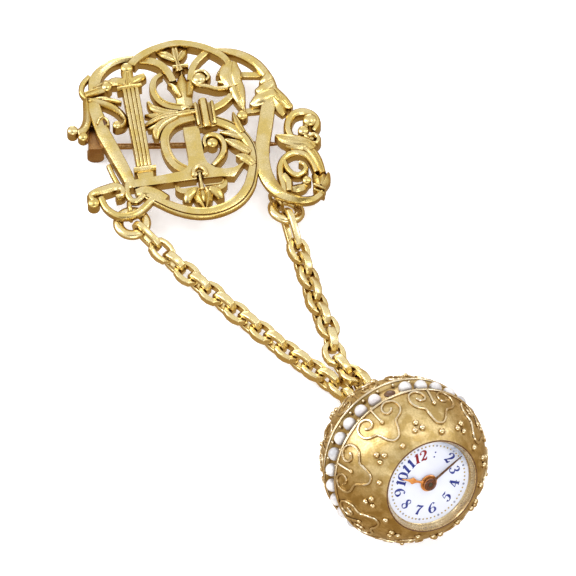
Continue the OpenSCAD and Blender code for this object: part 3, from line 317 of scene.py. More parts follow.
# Shells of the ball, in its own frame: its axis is Z, and the dial looks along it. Polar angles are degrees
# from that axis, and a profile's rows are [radius, height]
BALL_R = 11.5
RIM_R = 6.9
WALL = 1
BALL_SIDES = 144
FRONT_POLAR = (37.3, 80.4)
FRONT_RIM = [[RIM_R, 7.5], [RIM_R, 9.05]]
FRONT_INSIDE = [[11.33, -2.1], [9.9, -2.1], [9.9, 2.2], [10.2, 2.6], [9.4, 4.5], [8, 6.4], [RIM_R, 7.5]]
BELT_R = 10.9
BELT_Z = 1.5
BELT_LIP = [[11.3, 1.7], [11.05, BELT_Z], [BELT_R, BELT_Z - 0.1]]
CHANNEL_R = 10.6
RAIL_Z = 1.84
RAIL_WIRE = 0.19
RAIL_OUT = 0.08
BACK_POLAR = (101.1, 174)
BACK_INSIDE_POLAR = (174, 102.4)
PENDANT_Z = -13.7
PENDANT_MIDDLE = 1.31
PENDANT_WIRE = 0.34
COLLAR_R = 1.7
COLLAR_H = 2
COLLAR_EDGE = 0.3

# Pearls, their small beads, and the ornament. A motif's rows are [polar angle, angle round the axis from the
# motif's middle], and a grain is (polar angle, lift over the ball, size)
PEARL_PLACES = 29
FIRST_PEARL = 177
SEAT_R = 0.8
SEAT_DEPTH = 0.35
SEAT_OUT = 0.02
BEAD_R = 0.23
BEAD_Z = 1.3
BEAD_RING = 11.22
MOTIFS = 8
MOTIF_ANGLE = 197
MOTIF_WIRE = 0.2
MOTIF_LIFT = 0.45 * MOTIF_WIRE
HALF_MOTIF = [[50, 0], [50.4, 2.6], [52, 4.8], [54.8, 6.6], [58.2, 7.9], [61.5, 9.2], [63.2, 12], [65, 15.4],
              [68.4, 17.8], [72.6, 18], [76.4, 16.4], [78.4, 13.4], [78.8, 10.4], [77.2, 7.4], [74.2, 5.6],
              [71, 5.8], [69.4, 8], [70, 10.8], [72, 12.2]]
STEM_POLAR = (80.5, 67)
STEM_POINTS = 5
STEM_LIFT = 0.1
STEM_WIRE = 0.95 * MOTIF_WIRE
GRANULE_R = 0.48
STEM_GRAIN = (66.4, 0.16, 0.75)
SINGLE_GRAIN = (43.5, 0.13, 1)
CLUSTER_POLAR = 50
CLUSTER_R = 0.66
CLUSTER_LIFT = 0.06
GRAIN_SPREAD = 0.06

# Bezel, as a profile in the ball's frame, and the seam round it
BEZEL = [[6.88, 7.93], [6.88, 9.1], [6.83, 9.16], [6.77, 9.16], [6.72, 9.08], [6.58, 8.75], [6.46, 8.35],
         [6.36, 8.05], [6.22, 7.95], [6.22, 7.93], [6.88, 7.93]]
SEAM_WIRE = 0.1
SEAM_Z = 9.12

# Dial: where twelve stands, and the numerals by hand, with each one's drift in degrees and step outwards
DIAL_Z = 7.9
TWELVE = 181.5
NUMERAL_R = 4.25
NUMERAL_H = 1.5
NUMERAL_DRIFT = {2: 2, 5: 1.5, 6: 7, 7: 7, 8: 8, 9: 8, 10: 4, 11: 3}
NUMERAL_OUT = {2: 0.3, 3: -0.05, 4: -0.15, 5: -0.25, 6: -0.15, 9: 0.15, 11: 0.1, 12: 0.12}
NUMERAL_SLANT = 0.12
DIGIT_STEP = 0.66
STROKE_GROWTH = 1.2
UPSIDE_DOWN = (4, 5, 6, 7, 8)
WORN_MARKS = (-0.34, 0.36)
WORN_R = 0.13
WORN_LEAN = 0.05
PAINT_T = 0.02
TRACK_R = 5.6
MINUTE_DOT = 0.13
HOUR_DOT = 0.17

# Hands: angles clockwise from twelve, arms as rows of [along, aside, width], hubs as [radius, height]
HOUR_ANGLE = 306
HOUR_Z = 8.12
HOUR_T = 0.16
HOUR_ARM = [[0.6, 0, 0.4], [1.8, 0, 0.32], [2.2, 0, 0.5], [2.65, 0, 0.98], [3.1, 0, 0.5], [3.5, 0, 0.26],
            [4.4, 0, 0.12]]
HOUR_HUB = [[0.36, -0.1], [1.23, -0.1], [1.26, -0.02], [1.14, 0.08], [0.95, 0.03], [0.36, 0.03], [0.36, -0.1]]
MINUTE_ANGLE = 72
MINUTE_Z = 8.42
MINUTE_T = 0.12
MINUTE_ARM = [[0.5, 0, 0.4], [3, 0, 0.34], [4.6, 0, 0.26], [5.9, 0, 0.1]]
MINUTE_HUB = [[0.36, 0], [0.8, 0], [0.92, 0.1], [0.92, 0.24], [0.8, 0.32], [0.68, 0.27], [0.52, 0.32],
              [0.36, 0.31], [0.36, 0]]

# Brush strokes of the numerals, each a row of [across, up, width] points in a box one unit high
STROKES = {
    "0": [[[0, 0.5, 0.06], [-0.24, 0.34, 0.16], [-0.3, 0, 0.22], [-0.24, -0.34, 0.16], [0, -0.5, 0.06],
           [0.24, -0.34, 0.16], [0.3, 0, 0.22], [0.24, 0.34, 0.16], [0, 0.5, 0.06]]],
    "1": [[[0, 0.5, 0.22], [0, -0.48, 0.22]], [[0, 0.48, 0.06], [-0.14, 0.36, 0.09], [-0.24, 0.28, 0.04]],
          [[-0.22, -0.47, 0.08], [0.22, -0.47, 0.08]]],
    "2": [[[-0.2, 0.2, 0.2], [-0.28, 0.36, 0.1], [-0.06, 0.5, 0.07], [0.2, 0.38, 0.18], [0.24, 0.18, 0.22],
           [0.04, -0.12, 0.12], [-0.3, -0.44, 0.05]],
          [[-0.3, -0.44, 0.08], [-0.08, -0.38, 0.16], [0.18, -0.46, 0.16], [0.32, -0.24, 0.04]]],
    "3": [[[-0.22, 0.32, 0.16], [-0.04, 0.5, 0.06], [0.2, 0.36, 0.18], [0.16, 0.12, 0.12],
           [-0.06, 0.03, 0.05]],
          [[-0.06, 0.03, 0.05], [0.2, -0.06, 0.12], [0.28, -0.26, 0.2], [0.06, -0.49, 0.07],
           [-0.22, -0.42, 0.08], [-0.24, -0.26, 0.18]]],
    "4": [[[0.12, 0.5, 0.12], [-0.34, -0.14, 0.05]], [[-0.36, -0.16, 0.07], [0.36, -0.16, 0.07]],
          [[0.12, 0.5, 0.2], [0.12, -0.48, 0.2]], [[-0.08, -0.48, 0.07], [0.32, -0.48, 0.07]]],
    "5": [[[-0.2, 0.46, 0.08], [0.02, 0.42, 0.14], [0.26, 0.5, 0.05]],
          [[-0.2, 0.46, 0.05], [-0.24, 0.06, 0.05]],
          [[-0.24, 0.04, 0.04], [0.06, 0.14, 0.1], [0.26, -0.12, 0.22], [0.16, -0.42, 0.12],
           [-0.08, -0.5, 0.06], [-0.22, -0.32, 0.2]]],
    "6": [[[0.2, 0.36, 0.18], [0.04, 0.5, 0.06], [-0.22, 0.24, 0.14], [-0.3, -0.12, 0.22],
           [-0.2, -0.42, 0.14], [0.04, -0.5, 0.06], [0.28, -0.3, 0.18], [0.22, -0.06, 0.14],
           [0.02, 0.04, 0.05], [-0.2, -0.08, 0.05]]],
    "7": [[[-0.3, 0.24, 0.05], [-0.26, 0.44, 0.1], [0.02, 0.4, 0.16], [0.32, 0.5, 0.05]],
          [[0.32, 0.48, 0.05], [0.06, 0.06, 0.14], [0.02, -0.46, 0.24]]],
    "8": [[[0.2, 0.32, 0.08], [0, 0.5, 0.06], [-0.22, 0.3, 0.16], [-0.04, 0.06, 0.2], [0.24, -0.16, 0.18],
           [0.2, -0.42, 0.1], [0, -0.5, 0.06], [-0.26, -0.3, 0.12], [-0.14, -0.06, 0.05],
           [0.14, 0.12, 0.05], [0.2, 0.32, 0.08]]]}
STROKES["9"] = [[[-x, -y, w] for x, y, w in row] for row in STROKES["6"]]

# Studio and camera
FLOOR_SIZE = 6
FLOOR_GLOW = 0.3
TENT_LOW = -0.1
TENT_HIGH = 0.5
TENT_DARK = (0.5, 0.35, 0.18)
TENT_BRIGHT = (1, 0.98, 0.98)
TENT_STRENGTH = 0.95
OPENING_DARK = (0.25, 0.2, 0.14)
OPENING_EDGE = 0.93
OPENING_MIDDLE = 0.985
LAMP_REACH = 0.8
LAMP_COLOUR = (0.97, 0.99, 1.06)
# Lamps: name, direction, size, radiance, whether metal mirrors it, whether it casts shadows
LAMPS = [("lamp_left", (-0.51, 0.04, 0.86), 0.2, 8, True, True),
         ("lamp_top", (0.32, 0.1, 0.94), 0.24, 4, True, True),
         ("lamp_right", (0.8, 0.2, 0.55), 0.2, 4, True, True),
         ("panel_left", (-0.85, 0.1, 0.5), 0.5, 3.2, True, True),
         ("panel_front", (0.1, -0.87, 0.48), 0.45, 2.4, True, True),
         ("panel_back", (-0.15, 0.98, 0.1), 0.4, 2, True, False),
         ("fill_front", (0.25, -0.7, 0.6), 1, 0.5, False, False),
         ("fill_high", (0, 0.1, 1), 1, 0.9, False, False)]
CAMERA_RISE = 58
CAMERA_REACH = 3
CAMERA_CLIP = 0.1
PHOTO_WIDTH = 0.08101
TOWARDS_CAMERA = turn(-CAMERA_RISE, "X") @ Vector((0, -1, 0))


def smooth(table, steps):
    """A smooth curve through a table's rows, with steps stations from row to row."""
    def row(i):
        return Vector(table[max(0, min(len(table) - 1, i))])
    out = []
    for i in range(len(table) - 1):
        a, b, c, d = row(i - 1), row(i), row(i + 1), row(i + 2)
        for s in range(steps):
            t = s / steps
            out.append(0.5 * ((2 * b) + (c - a) * t + (2 * a - 5 * b + 4 * c - d) * t * t
                              + (3 * b - a - 3 * c + d) * t ** 3))
    out.append(row(len(table) - 1))
    return out


def deselect():
    bpy.ops.object.select_all(action="DESELECT")


def pick(piece):
    deselect()
    piece.select_set(True)
    bpy.context.view_layer.objects.active = piece


def edit(piece):
    pick(piece)
    bpy.ops.object.mode_set(mode="EDIT")
    bpy.ops.mesh.select_all(action="SELECT")


def close_edit():
    bpy.ops.mesh.select_all(action="SELECT")
    bpy.ops.mesh.normals_make_consistent(inside=False)
    bpy.ops.object.mode_set(mode="OBJECT")


def apply_modifier(piece, kind, **settings):
    pick(piece)
    modifier = piece.modifiers.new(kind.lower(), kind)
    for key, value in settings.items():
        setattr(modifier, key, value)
    bpy.ops.object.modifier_apply(modifier=modifier.name)


def soften(piece, width, segments=2, angle=28):
    apply_modifier(piece, "BEVEL", width=width, segments=segments, limit_method="ANGLE",
                   angle_limit=math.radians(angle), harden_normals=False)


def smooth_shade(piece, angle=60):
    pick(piece)
    bpy.ops.object.shade_smooth_by_angle(angle=math.radians(angle))


def join(pieces):
    pick(pieces[0])
    for piece in pieces:
        piece.select_set(True)
    if len(pieces) > 1:
        bpy.ops.object.join()
    return pieces[0]


def settle(piece, name, place, material, body, *nodes):
    """Gives a finished piece its place in metres, its finish, its body and the nodes that it stands for."""
    piece.data.transform(Matrix.Scale(MM, 4) @ place @ piece.matrix_world)
    piece.matrix_world = Matrix.Identity(4)
    piece.name = name
    piece.data.name = name
    if material:
        piece.data.materials.clear()
        piece.data.materials.append(material)
    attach(piece, body)
    if nodes:
        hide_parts(*nodes)


def copies(piece, places):
    """The piece at each place, each copy with its own mesh, joined."""
    out = []
    for place in places:
        twin = piece.copy()
        twin.data = piece.data.copy()
        twin.data.transform(place)
        bpy.context.collection.objects.link(twin)
        out.append(twin)
    bpy.data.objects.remove(piece)
    return join(out)


def ball(radius, around, rings, at=(0, 0, 0)):
    deselect()
    bpy.ops.mesh.primitive_uv_sphere_add(segments=around, ring_count=rings, radius=radius, location=at)
    return bpy.context.object


def disc(radius, depth, sides, at=(0, 0, 0)):
    deselect()
    bpy.ops.mesh.primitive_cylinder_add(vertices=sides, radius=radius, depth=depth, location=at)
    return bpy.context.object


def ring(middle, thickness, around, sides, at=(0, 0, 0), turned_by=(0, 0, 0)):
    deselect()
    bpy.ops.mesh.primitive_torus_add(major_radius=middle, minor_radius=thickness, major_segments=around,
                                     minor_segments=sides, location=at,
                                     rotation=[math.radians(angle) for angle in turned_by])
    return bpy.context.object


def stretch(piece, shares, about=(0, 0, 0)):
    edit(piece)
    bpy.ops.transform.resize(value=shares, center_override=about)
    close_edit()


def bar(table, low, high, section, ends=(1, 1), steps=3):
    """A bar of one section, drawn out station by station in line, then bent along the table's curve."""
    path = smooth(table, steps)
    places = [0]
    for a, b in zip(path, path[1:]):
        places.append(places[-1] + (b.xy - a.xy).length)
    falling = FALL * places[-1]

    def height(s):
        start = ends[0] + (1 - ends[0]) * min(1, s / falling)
        finish = ends[1] + (1 - ends[1]) * min(1, (places[-1] - s) / falling)
        return start * finish

    deselect()
    bpy.ops.mesh.primitive_circle_add(vertices=len(section), radius=1, fill_type="NGON")
    piece = bpy.context.object
    for vertex, (across, up) in zip(piece.data.vertices, section):
        vertex.co = (0, across * path[0].z / 2, low + up * (high - low) * height(0))
    edit(piece)
    for i in range(1, len(path)):
        bpy.ops.mesh.extrude_region_move(TRANSFORM_OT_translate={"value": (places[i] - places[i - 1], 0, 0)})
        growth = (1, path[i].z / path[i - 1].z, height(places[i]) / height(places[i - 1]))
        bpy.ops.transform.resize(value=growth, center_override=(places[i], 0, low))
    close_edit()
    line = bpy.data.curves.new("line", "CURVE")
    line.dimensions = "2D"
    spline = line.splines.new("POLY")
    spline.points.add(len(path) - 1)
    for point, place in zip(spline.points, path):
        point.co = (place.x, place.y, 0, 1)
    guide = bpy.data.objects.new("line", line)
    bpy.context.collection.objects.link(guide)
    apply_modifier(piece, "CURVE", object=guide, deform_axis="POS_X")
    bpy.data.objects.remove(guide)
    return piece


def plate(outline, low, high):
    """A flat plate between two heights, with a corner for each point of its outline."""
    deselect()
    bpy.ops.mesh.primitive_circle_add(vertices=len(outline), radius=1, fill_type="NGON")
    piece = bpy.context.object
    for vertex, (x, y) in zip(piece.data.vertices, outline):
        vertex.co = (x, y, low)
    edit(piece)
    bpy.ops.mesh.extrude_region_move(TRANSFORM_OT_translate={"value": (0, 0, high - low)})
    close_edit()
    return piece


def turned(profile, sides, base=0):
    """A turned piece: a ring drawn along a profile of [radius, height] rows; a closed profile is welded."""
    deselect()
    bpy.ops.mesh.primitive_circle_add(vertices=sides, radius=profile[0][0],
                                      location=(0, 0, base + profile[0][1]))
    piece = bpy.context.object
    edit(piece)
    for a, b in zip(profile, profile[1:]):
        bpy.ops.mesh.extrude_region_move(TRANSFORM_OT_translate={"value": (0, 0, b[1] - a[1])})
        bpy.ops.transform.resize(value=(b[0] / a[0], b[0] / a[0], 1), center_override=(0, 0, base + b[1]))
    bpy.ops.mesh.select_all(action="SELECT")
    bpy.ops.mesh.remove_doubles(threshold=WELD)
    close_edit()
    return piece


def wire(points, radius):
    """A round wire of eight sides along a line of points, made a mesh with closed ends."""
    line = bpy.data.curves.new("wire", "CURVE")
    line.dimensions = "3D"
    line.bevel_depth = radius
    line.bevel_resolution = 1
    line.use_fill_caps = True
    spline = line.splines.new("POLY")
    spline.points.add(len(points) - 1)
    for point, place in zip(spline.points, points):
        point.co = (*place, 1)
    piece = bpy.data.objects.new("wire", line)
    bpy.context.collection.objects.link(piece)
    pick(piece)
    bpy.ops.object.convert(target="MESH")
    return bpy.context.object


def on_ball(radius, polar, angle):
    polar, angle = math.radians(polar), math.radians(angle)
    return Vector((radius * math.sin(polar) * math.cos(angle), radius * math.sin(polar) * math.sin(angle),
                   radius * math.cos(polar)))


def arc(radius, first, last, count):
    """A profile along the ball: [radius, height] rows from one polar angle to another."""
    angles = [math.radians(first + (last - first) * i / (count - 1)) for i in range(count)]
    return [[radius * math.sin(a), radius * math.cos(a)] for a in angles]


# Finishes: samples for the painted crevice shade, the gold's fine grain, and the dial's side with a painted
# bluish shadow
SHADE_STEPS = 8
GRAIN_SCALE = 3600
GRAIN_DEPTH = 0.25
SHADE_SIDE = Vector((0.62, 0.66, 0.42))
SHADE_FROM = 4.6
SHADE_TO = 6.4
BALL_AXIS = BALL.to_3x3() @ Vector((0, 0, 1))


def put(tree, socket, value):
    """Sets a socket, or links another node's output to it."""
    if isinstance(value, bpy.types.NodeSocket):
        tree.links.new(value, socket)
    else:
        socket.default_value = value


def node(tree, kind, inputs=None, **settings):
    made = tree.nodes.new(kind)
    for key, value in settings.items():
        setattr(made, key, value)
    for key, value in (inputs or {}).items():
        put(tree, made.inputs[key], value)
    return made


def new_material(name, shared):
    """A material with its shader, whose shared numbers sit on the shader's own sockets."""
    material = bpy.data.materials.new(name)
    material.use_nodes = True
    tree = material.node_tree
    tree.nodes.clear()
    out = tree.nodes.new("ShaderNodeOutputMaterial")
    shader = node(tree, "ShaderNodeBsdfPrincipled", shared)
    tree.links.new(shader.outputs[0], out.inputs[0])
    return material, tree, shader


def mix(tree, share, first, second):
    """A blend of two colours."""
    made = node(tree, "ShaderNodeMix", {0: share}, data_type="RGBA")
    for socket, colour in ((made.inputs[6], first), (made.inputs[7], second)):
        put(tree, socket, colour if isinstance(colour, bpy.types.NodeSocket) else (*colour, 1))
    return made.outputs[2]


def ramp(tree, value, low, high, first=0.0, last=1.0):
    """Goes smoothly from first to last while a value goes from low to high."""
    return node(tree, "ShaderNodeMapRange", {0: value, 1: low, 2: high, 3: first, 4: last},
                interpolation_type="SMOOTHSTEP").outputs[0]


def times(tree, a, b):
    return node(tree, "ShaderNodeMath", {0: a, 1: b}, operation="MULTIPLY").outputs[0]


def share_along(tree, a, direction):
    """How far one direction reaches along another."""
    return node(tree, "ShaderNodeVectorMath", {0: a, 1: direction}, operation="DOT_PRODUCT").outputs["Value"]


def where(tree):
    return tree.nodes.new("ShaderNodeTexCoord").outputs["Object"]


def noise(tree, scale, detail):
    """Cloudy noise through a piece, with its scale in waves per metre."""
    inputs = {"Vector": where(tree), "Scale": scale, "Detail": detail}
    return node(tree, "ShaderNodeTexNoise", inputs).outputs[0]


def openness(tree, reach):
    """How open a point lies, looking some millimetres round it: one in the open, nought in a crevice."""
    return node(tree, "ShaderNodeAmbientOcclusion", {"Distance": reach * MM},
                samples=SHADE_STEPS).outputs["AO"]


def roughen(tree, shader, height, strength, depth):
    """Roughens a surface by some height, with its depth in millimetres."""
    rise = node(tree, "ShaderNodeBump", {"Height": height, "Strength": strength, "Distance": depth * MM})
    put(tree, shader.inputs["Normal"], rise.outputs[0])


def gold(name, light, deep, shade_colour, rough=0.25, wall_shade=0.0, crevice=0.85, reach=0.9, patches=420, bump=0.2,
         metal=1.0):
    """Cast or drawn gold, finely grained: pale on top, with painted shade, warmer on walls and by crevices,
    brown in them.
    """
    material, tree, shader = new_material(name, {"Metallic": metal, "Coat Weight": 0.5, "Coat IOR": 1.6,
                                                 "Coat Roughness": 0.2})
    fine = noise(tree, GRAIN_SCALE, 4)
    # Colours of the painted shade: a half shade between the deep gold and the brown of the crevices
    half_shade = [0.55 * a + 0.45 * b for a, b in zip(deep, shade_colour)]
    darkening = [0.7 * channel for channel in deep]
    shade_mask = openness(tree, reach)
    tone = mix(tree, ramp(tree, noise(tree, patches, 3), 0.38, 0.62), light, deep)
    tone = mix(tree, times(tree, ramp(tree, fine, 0.38, 0.62), 0.3), tone, darkening)
    # Painted shade: the half shade where a point lies partly hidden, the brown deep in crevices
    tone = mix(tree, ramp(tree, shade_mask, 0.6, 0.95, 0.8, 0.0), tone, half_shade)
    tone = mix(tree, ramp(tree, shade_mask, 0.3, 0.65, crevice, 0.0), tone, shade_colour)
    # Painted shade on the side walls: faces that look sideways or down are painted in the half shade
    if wall_shade:
        normal = tree.nodes.new("ShaderNodeNewGeometry").outputs["Normal"]
        up = node(tree, "ShaderNodeSeparateXYZ", {0: normal}).outputs[2]
        tone = mix(tree, ramp(tree, up, -0.05, 0.5, wall_shade, 0.0), tone, half_shade)
    put(tree, shader.inputs["Base Color"], tone)
    put(tree, shader.inputs["Roughness"], ramp(tree, fine, 0.3, 0.7, rough - 0.05, rough + 0.08))
    roughen(tree, shader, fine, bump, GRAIN_DEPTH)
    return material


def brooch_finish():
    return gold("brooch_gold", (0.84, 0.69, 0.33), (0.76, 0.575, 0.17), (0.22, 0.095, 0.01), rough=0.2,
                wall_shade=0.85, bump=0.1)


def chain_finish():
    return gold("chain_gold", (0.95, 0.81, 0.43), (0.88, 0.7, 0.3), (0.27, 0.12, 0.014), rough=0.2, reach=0.5,
                bump=0.05)


def ball_finish():
    return gold("ball_gold", (0.79, 0.61, 0.28), (0.54, 0.37, 0.115), (0.17, 0.085, 0.015), rough=0.37,
                crevice=1, reach=1.2, patches=650, bump=0.14)


def wire_finish():
    return gold("wire_gold", (0.9, 0.8, 0.58), (0.84, 0.68, 0.4), (0.3, 0.15, 0.035), rough=0.16, crevice=0.8,
                reach=0.4, bump=0.06)


def bead_finish():
    """Polished granules: each shows a bright spot in a dark ring."""
    return gold("bead_gold", (0.9, 0.76, 0.48), (0.8, 0.62, 0.32), (0.2, 0.09, 0.02), rough=0.06, reach=0.5,
                bump=0.02)


def copper_finish():
    return gold("copper", (0.95, 0.4, 0.09), (0.75, 0.25, 0.045), (0.08, 0.02, 0.01), rough=0.18, crevice=0.9,
                reach=0.45, patches=1500, bump=0.1, metal=0.3)


def bezel_finish():
    return gold("bezel_gold", (0.9, 0.76, 0.46), (0.82, 0.64, 0.33), (0.4, 0.24, 0.08), rough=0.28,
                crevice=0.5, bump=0.02)


def pin_finish():
    return gold("pin_gold", (0.5, 0.29, 0.1), (0.4, 0.2, 0.06), (0.13, 0.05, 0.01), rough=0.3)


def steel_finish():
    return gold("steel", (0.6, 0.6, 0.62), (0.5, 0.5, 0.52), (0.05, 0.05, 0.05), rough=0.2, crevice=0.5,
                bump=0.04)


def pearl_finish():
    """Seed pearls: white with a grey and faintly rosy drift under a thin clear skin, and painted shade where
    they lie close to other parts.
    """
    material, tree, shader = new_material("pearl", {
        "Roughness": 0.28, "Coat Weight": 0.6, "Coat Roughness": 0.08, "Subsurface Weight": 0.15,
        "Subsurface Radius": (0.4 * MM, 0.4 * MM, 0.4 * MM)})
    tone = mix(tree, ramp(tree, noise(tree, 500, 3), 0.35, 0.7), (0.74, 0.73, 0.71), (0.45, 0.45, 0.46))
    tone = mix(tree, ramp(tree, noise(tree, 160, 1), 0.45, 0.75, 0.0, 0.35), tone, (0.76, 0.65, 0.62))
    # Painted shade: the pearls darken to brown-grey where other parts lie close round them
    tone = mix(tree, ramp(tree, openness(tree, 0.9), 0.45, 0.95, 0.9, 0.0), tone, (0.25, 0.22, 0.2))
    put(tree, shader.inputs["Base Color"], tone)
    return material


def cement_finish():
    material, tree, shader = new_material("seat_cement", {"Roughness": 0.75})
    lumps = noise(tree, 1800, 3)
    tone = mix(tree, ramp(tree, lumps, 0.35, 0.65), (0.13, 0.055, 0.03), (0.24, 0.12, 0.06))
    put(tree, shader.inputs["Base Color"], tone)
    roughen(tree, shader, lumps, 0.5, 0.2)
    return material


def enamel_finish():
    """White enamel, with a painted bluish shadow, mottled, along one side of the dial."""
    material, tree, shader = new_material("enamel", {"Roughness": 0.2, "Coat Weight": 0.5})
    tone = mix(tree, ramp(tree, noise(tree, 260, 2), 0.3, 0.7), (0.8, 0.81, 0.84), (0.75, 0.76, 0.8))
    centre = BALL @ Vector((0, 0, DIAL_Z)) * MM
    side = (SHADE_SIDE - SHADE_SIDE.project(BALL_AXIS)).normalized()
    local = node(tree, "ShaderNodeVectorMath", {0: where(tree), 1: centre}, operation="SUBTRACT").outputs[0]
    # Painted shadow: the enamel turns darker and bluish towards one side of its rim, mottled by noise
    darkening = times(tree, ramp(tree, share_along(tree, local, side), SHADE_FROM * MM, SHADE_TO * MM),
                 ramp(tree, noise(tree, 1800, 3), 0.3, 0.6, 0.45, 1))
    put(tree, shader.inputs["Base Color"], mix(tree, darkening, tone, (0.26, 0.31, 0.4)))
    return material


def paint_finish(name, colour, pale):
    """Fired paint on the dial, thin in places."""
    material, tree, shader = new_material(name, {"Roughness": 0.3})
    thin = ramp(tree, noise(tree, 2600, 2), 0.45, 0.75, 0.0, 0.6)
    put(tree, shader.inputs["Base Color"], mix(tree, thin, colour, pale))
    return material


def crystal_finish():
    """Thin clear crystal: nearly all light goes through, and a little is mirrored at a slant."""
    material = bpy.data.materials.new("crystal")
    material.use_nodes = True
    tree = material.node_tree
    tree.nodes.clear()
    out = tree.nodes.new("ShaderNodeOutputMaterial")
    clear = node(tree, "ShaderNodeBsdfTransparent", {"Color": (0.97, 0.98, 1, 1)}).outputs[0]
    gloss = node(tree, "ShaderNodeBsdfGlossy", {"Color": (1, 1, 1, 1), "Roughness": 0.04}).outputs[0]
    surface = tree.nodes.new("ShaderNodeNewGeometry")
    slant = node(tree, "ShaderNodeFresnel", {"IOR": 1.3}).outputs[0]
    face = share_along(tree, surface.outputs["Normal"], BALL_AXIS)
    slant = times(tree, slant, ramp(tree, face, 0.9, 0.98))
    # Only the outside mirrors: from within, light at a slant would be mirrored whole
    slant = times(tree, slant, ramp(tree, surface.outputs["Backfacing"], 0, 1, 1, 0))
    both = node(tree, "ShaderNodeMixShader", {0: slant})
    tree.links.new(clear, both.inputs[1])
    tree.links.new(gloss, both.inputs[2])
    tree.links.new(both.outputs[0], out.inputs[0])
    return material


def make_scrolls():
    """All scrolls, leaves and plates of the brooch, with rounded edges."""
    left = list(PETALS.values())
    right = [(low, high, section, ends, [[2 * FLOWER_AXIS - x, y, width] for x, y, width in table])
             for low, high, section, ends, table in left]
    parts = []
    for i, (low, high, section, ends, table) in enumerate(list(SCROLLS.values()) + left + right):
        lift = LIFT_STEP * ((i * 5) % 9)
        parts.append(bar(table, low * FRAME_T + lift, high * FRAME_T + lift, section, ends))
    for outline, (low, high) in ((T_BAR, T_BAR_FACES), (BOX_PLATE, BOX_PLATE_FACES)):
        parts.append(plate(outline, low * FRAME_T, high * FRAME_T))
    scrolls = join(parts)
    soften(scrolls, FRAME_EDGE)
    return scrolls


def make_knobs():
    knobs = []
    for x, y, radius, top in KNOBS:
        foot = top * FRAME_T - KNOB_DOME * radius
        knobs.append(disc(radius, foot, 24, (x, y, foot / 2)))
        dome = ball(radius, 24, 12, (x, y, foot))
        stretch(dome, (1, 1, KNOB_DOME), (x, y, foot))
        knobs.append(dome)
    return join(knobs)


def make_brooch(finish, shade):
    scrolls = make_scrolls()
    knobs = make_knobs()
    eyes = [ring(EYE_MIDDLE, EYE_WIRE, 32, 12, at, (0, 90, angle)) for at, angle in EYES]
    brooch = join([scrolls, knobs] + eyes)
    smooth_shade(brooch, 32)
    settle(brooch, "brooch", BROOCH, finish, "brooch", "brooch_frame")
    # Painted shade: a thin dark disc stands for the shade in the hollow of the left leg
    hollow_shade = disc(HOLLOW_R, HOLLOW_T, 24, HOLLOW_AT)
    soften(hollow_shade, HOLLOW_EDGE)
    settle(hollow_shade, "leg_hollow_shade", BROOCH, shade, "brooch")


def make_rounded(name, node_name, width, finish):
    """A copy of a part of the frame, merged and with its edges rounded."""
    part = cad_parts[node_name]
    piece = part.copy()
    piece.data = part.data.copy()
    bpy.context.scene.collection.objects.link(piece)
    piece.data.transform(Matrix.Scale(1 / MM, 4))
    piece.data.materials.clear()
    edit(piece)
    bpy.ops.mesh.remove_doubles(threshold=WELD)
    close_edit()
    soften(piece, width, 3, 50)
    smooth_shade(piece, 40)
    settle(piece, name, Matrix(), finish, "brooch", node_name)


def make_link(length, band=LINK_BAND):
    """One belcher link: a band, broad across and flat inside, spun round both ends of a long ring."""
    middle = (LINK_W - LINK_WIRE) / 2
    centre = (length - LINK_W) / 2
    deselect()
    bpy.ops.mesh.primitive_circle_add(vertices=len(LINK_SECTION), radius=1)
    link = bpy.context.object
    for vertex, (out, across) in zip(link.data.vertices, LINK_SECTION):
        vertex.co = (centre, -middle - out * LINK_WIRE / 2, across * band / 2)
    edit(link)
    for side in (1, -1):
        bpy.ops.mesh.spin(steps=LINK_STEPS, angle=-math.pi, center=(side * centre, 0, 0), axis=(0, 0, 1))
        bpy.ops.mesh.extrude_region_move(TRANSFORM_OT_translate={"value": (-side * 2 * centre, 0, 0)})
    bpy.ops.mesh.select_all(action="SELECT")
    bpy.ops.mesh.remove_doubles(threshold=2 * WELD)
    close_edit()
    for vertex in link.data.vertices:
        end = max(0, abs(vertex.co.x) - centre) / (LINK_W / 2)
        vertex.co.z *= 1 + (LINK_END_BAND - 1) * min(1, end) ** 2
    soften(link, LINK_EDGE, 2, 20)
    return link


def along(at, direction, roll):
    """The place of a link that lies along a direction, rolled about it."""
    flat = math.hypot(direction.x, direction.y)
    return (Matrix.Translation(at) @ Matrix.Rotation(math.atan2(direction.y, direction.x), 4, "Z")
            @ Matrix.Rotation(-math.atan2(direction.z, flat), 4, "Y") @ turn(roll, "X"))


def on_route(route, distance):
    """The point at a distance along a line of points."""
    for a, b in zip(route, route[1:]):
        a, b = Vector(a), Vector(b)
        leg = (b - a).length
        if distance <= leg or list(b) == route[-1]:
            break
        distance -= leg
    return a + (b - a) * distance / leg


def left_links():
    """The long chain: its first links from the ring, an even run along its route, and its last link."""
    run = []
    for k in range(LEFT_RUN):
        at = on_route(LEFT_ROUTE, k * LEFT_PITCH)
        run.append([at.x, at.y, LEFT_Z, (0 if k % 2 == 0 else 90) + LEFT_TWIST * (k + 2)])
    return LEFT_START + run + LEFT_END


def make_chain(name, links, hooks, first_l, length, finish):
    """The links of one chain along its table, each along the line between its neighbours."""
    middles = [Vector(hooks[0])] + [Vector(row[:3]) for row in links] + [Vector(hooks[1])]
    places = [along(middles[i + 1], middles[i + 2] - middles[i], row[3]) for i, row in enumerate(links)]
    first = copies(make_link(first_l, FIRST_BAND), places[:1])
    rest = copies(make_link(length), places[1:])
    chain = join([first, rest])
    smooth_shade(chain, 22)
    settle(chain, name + "_links", PLAN, finish, "brooch", name)


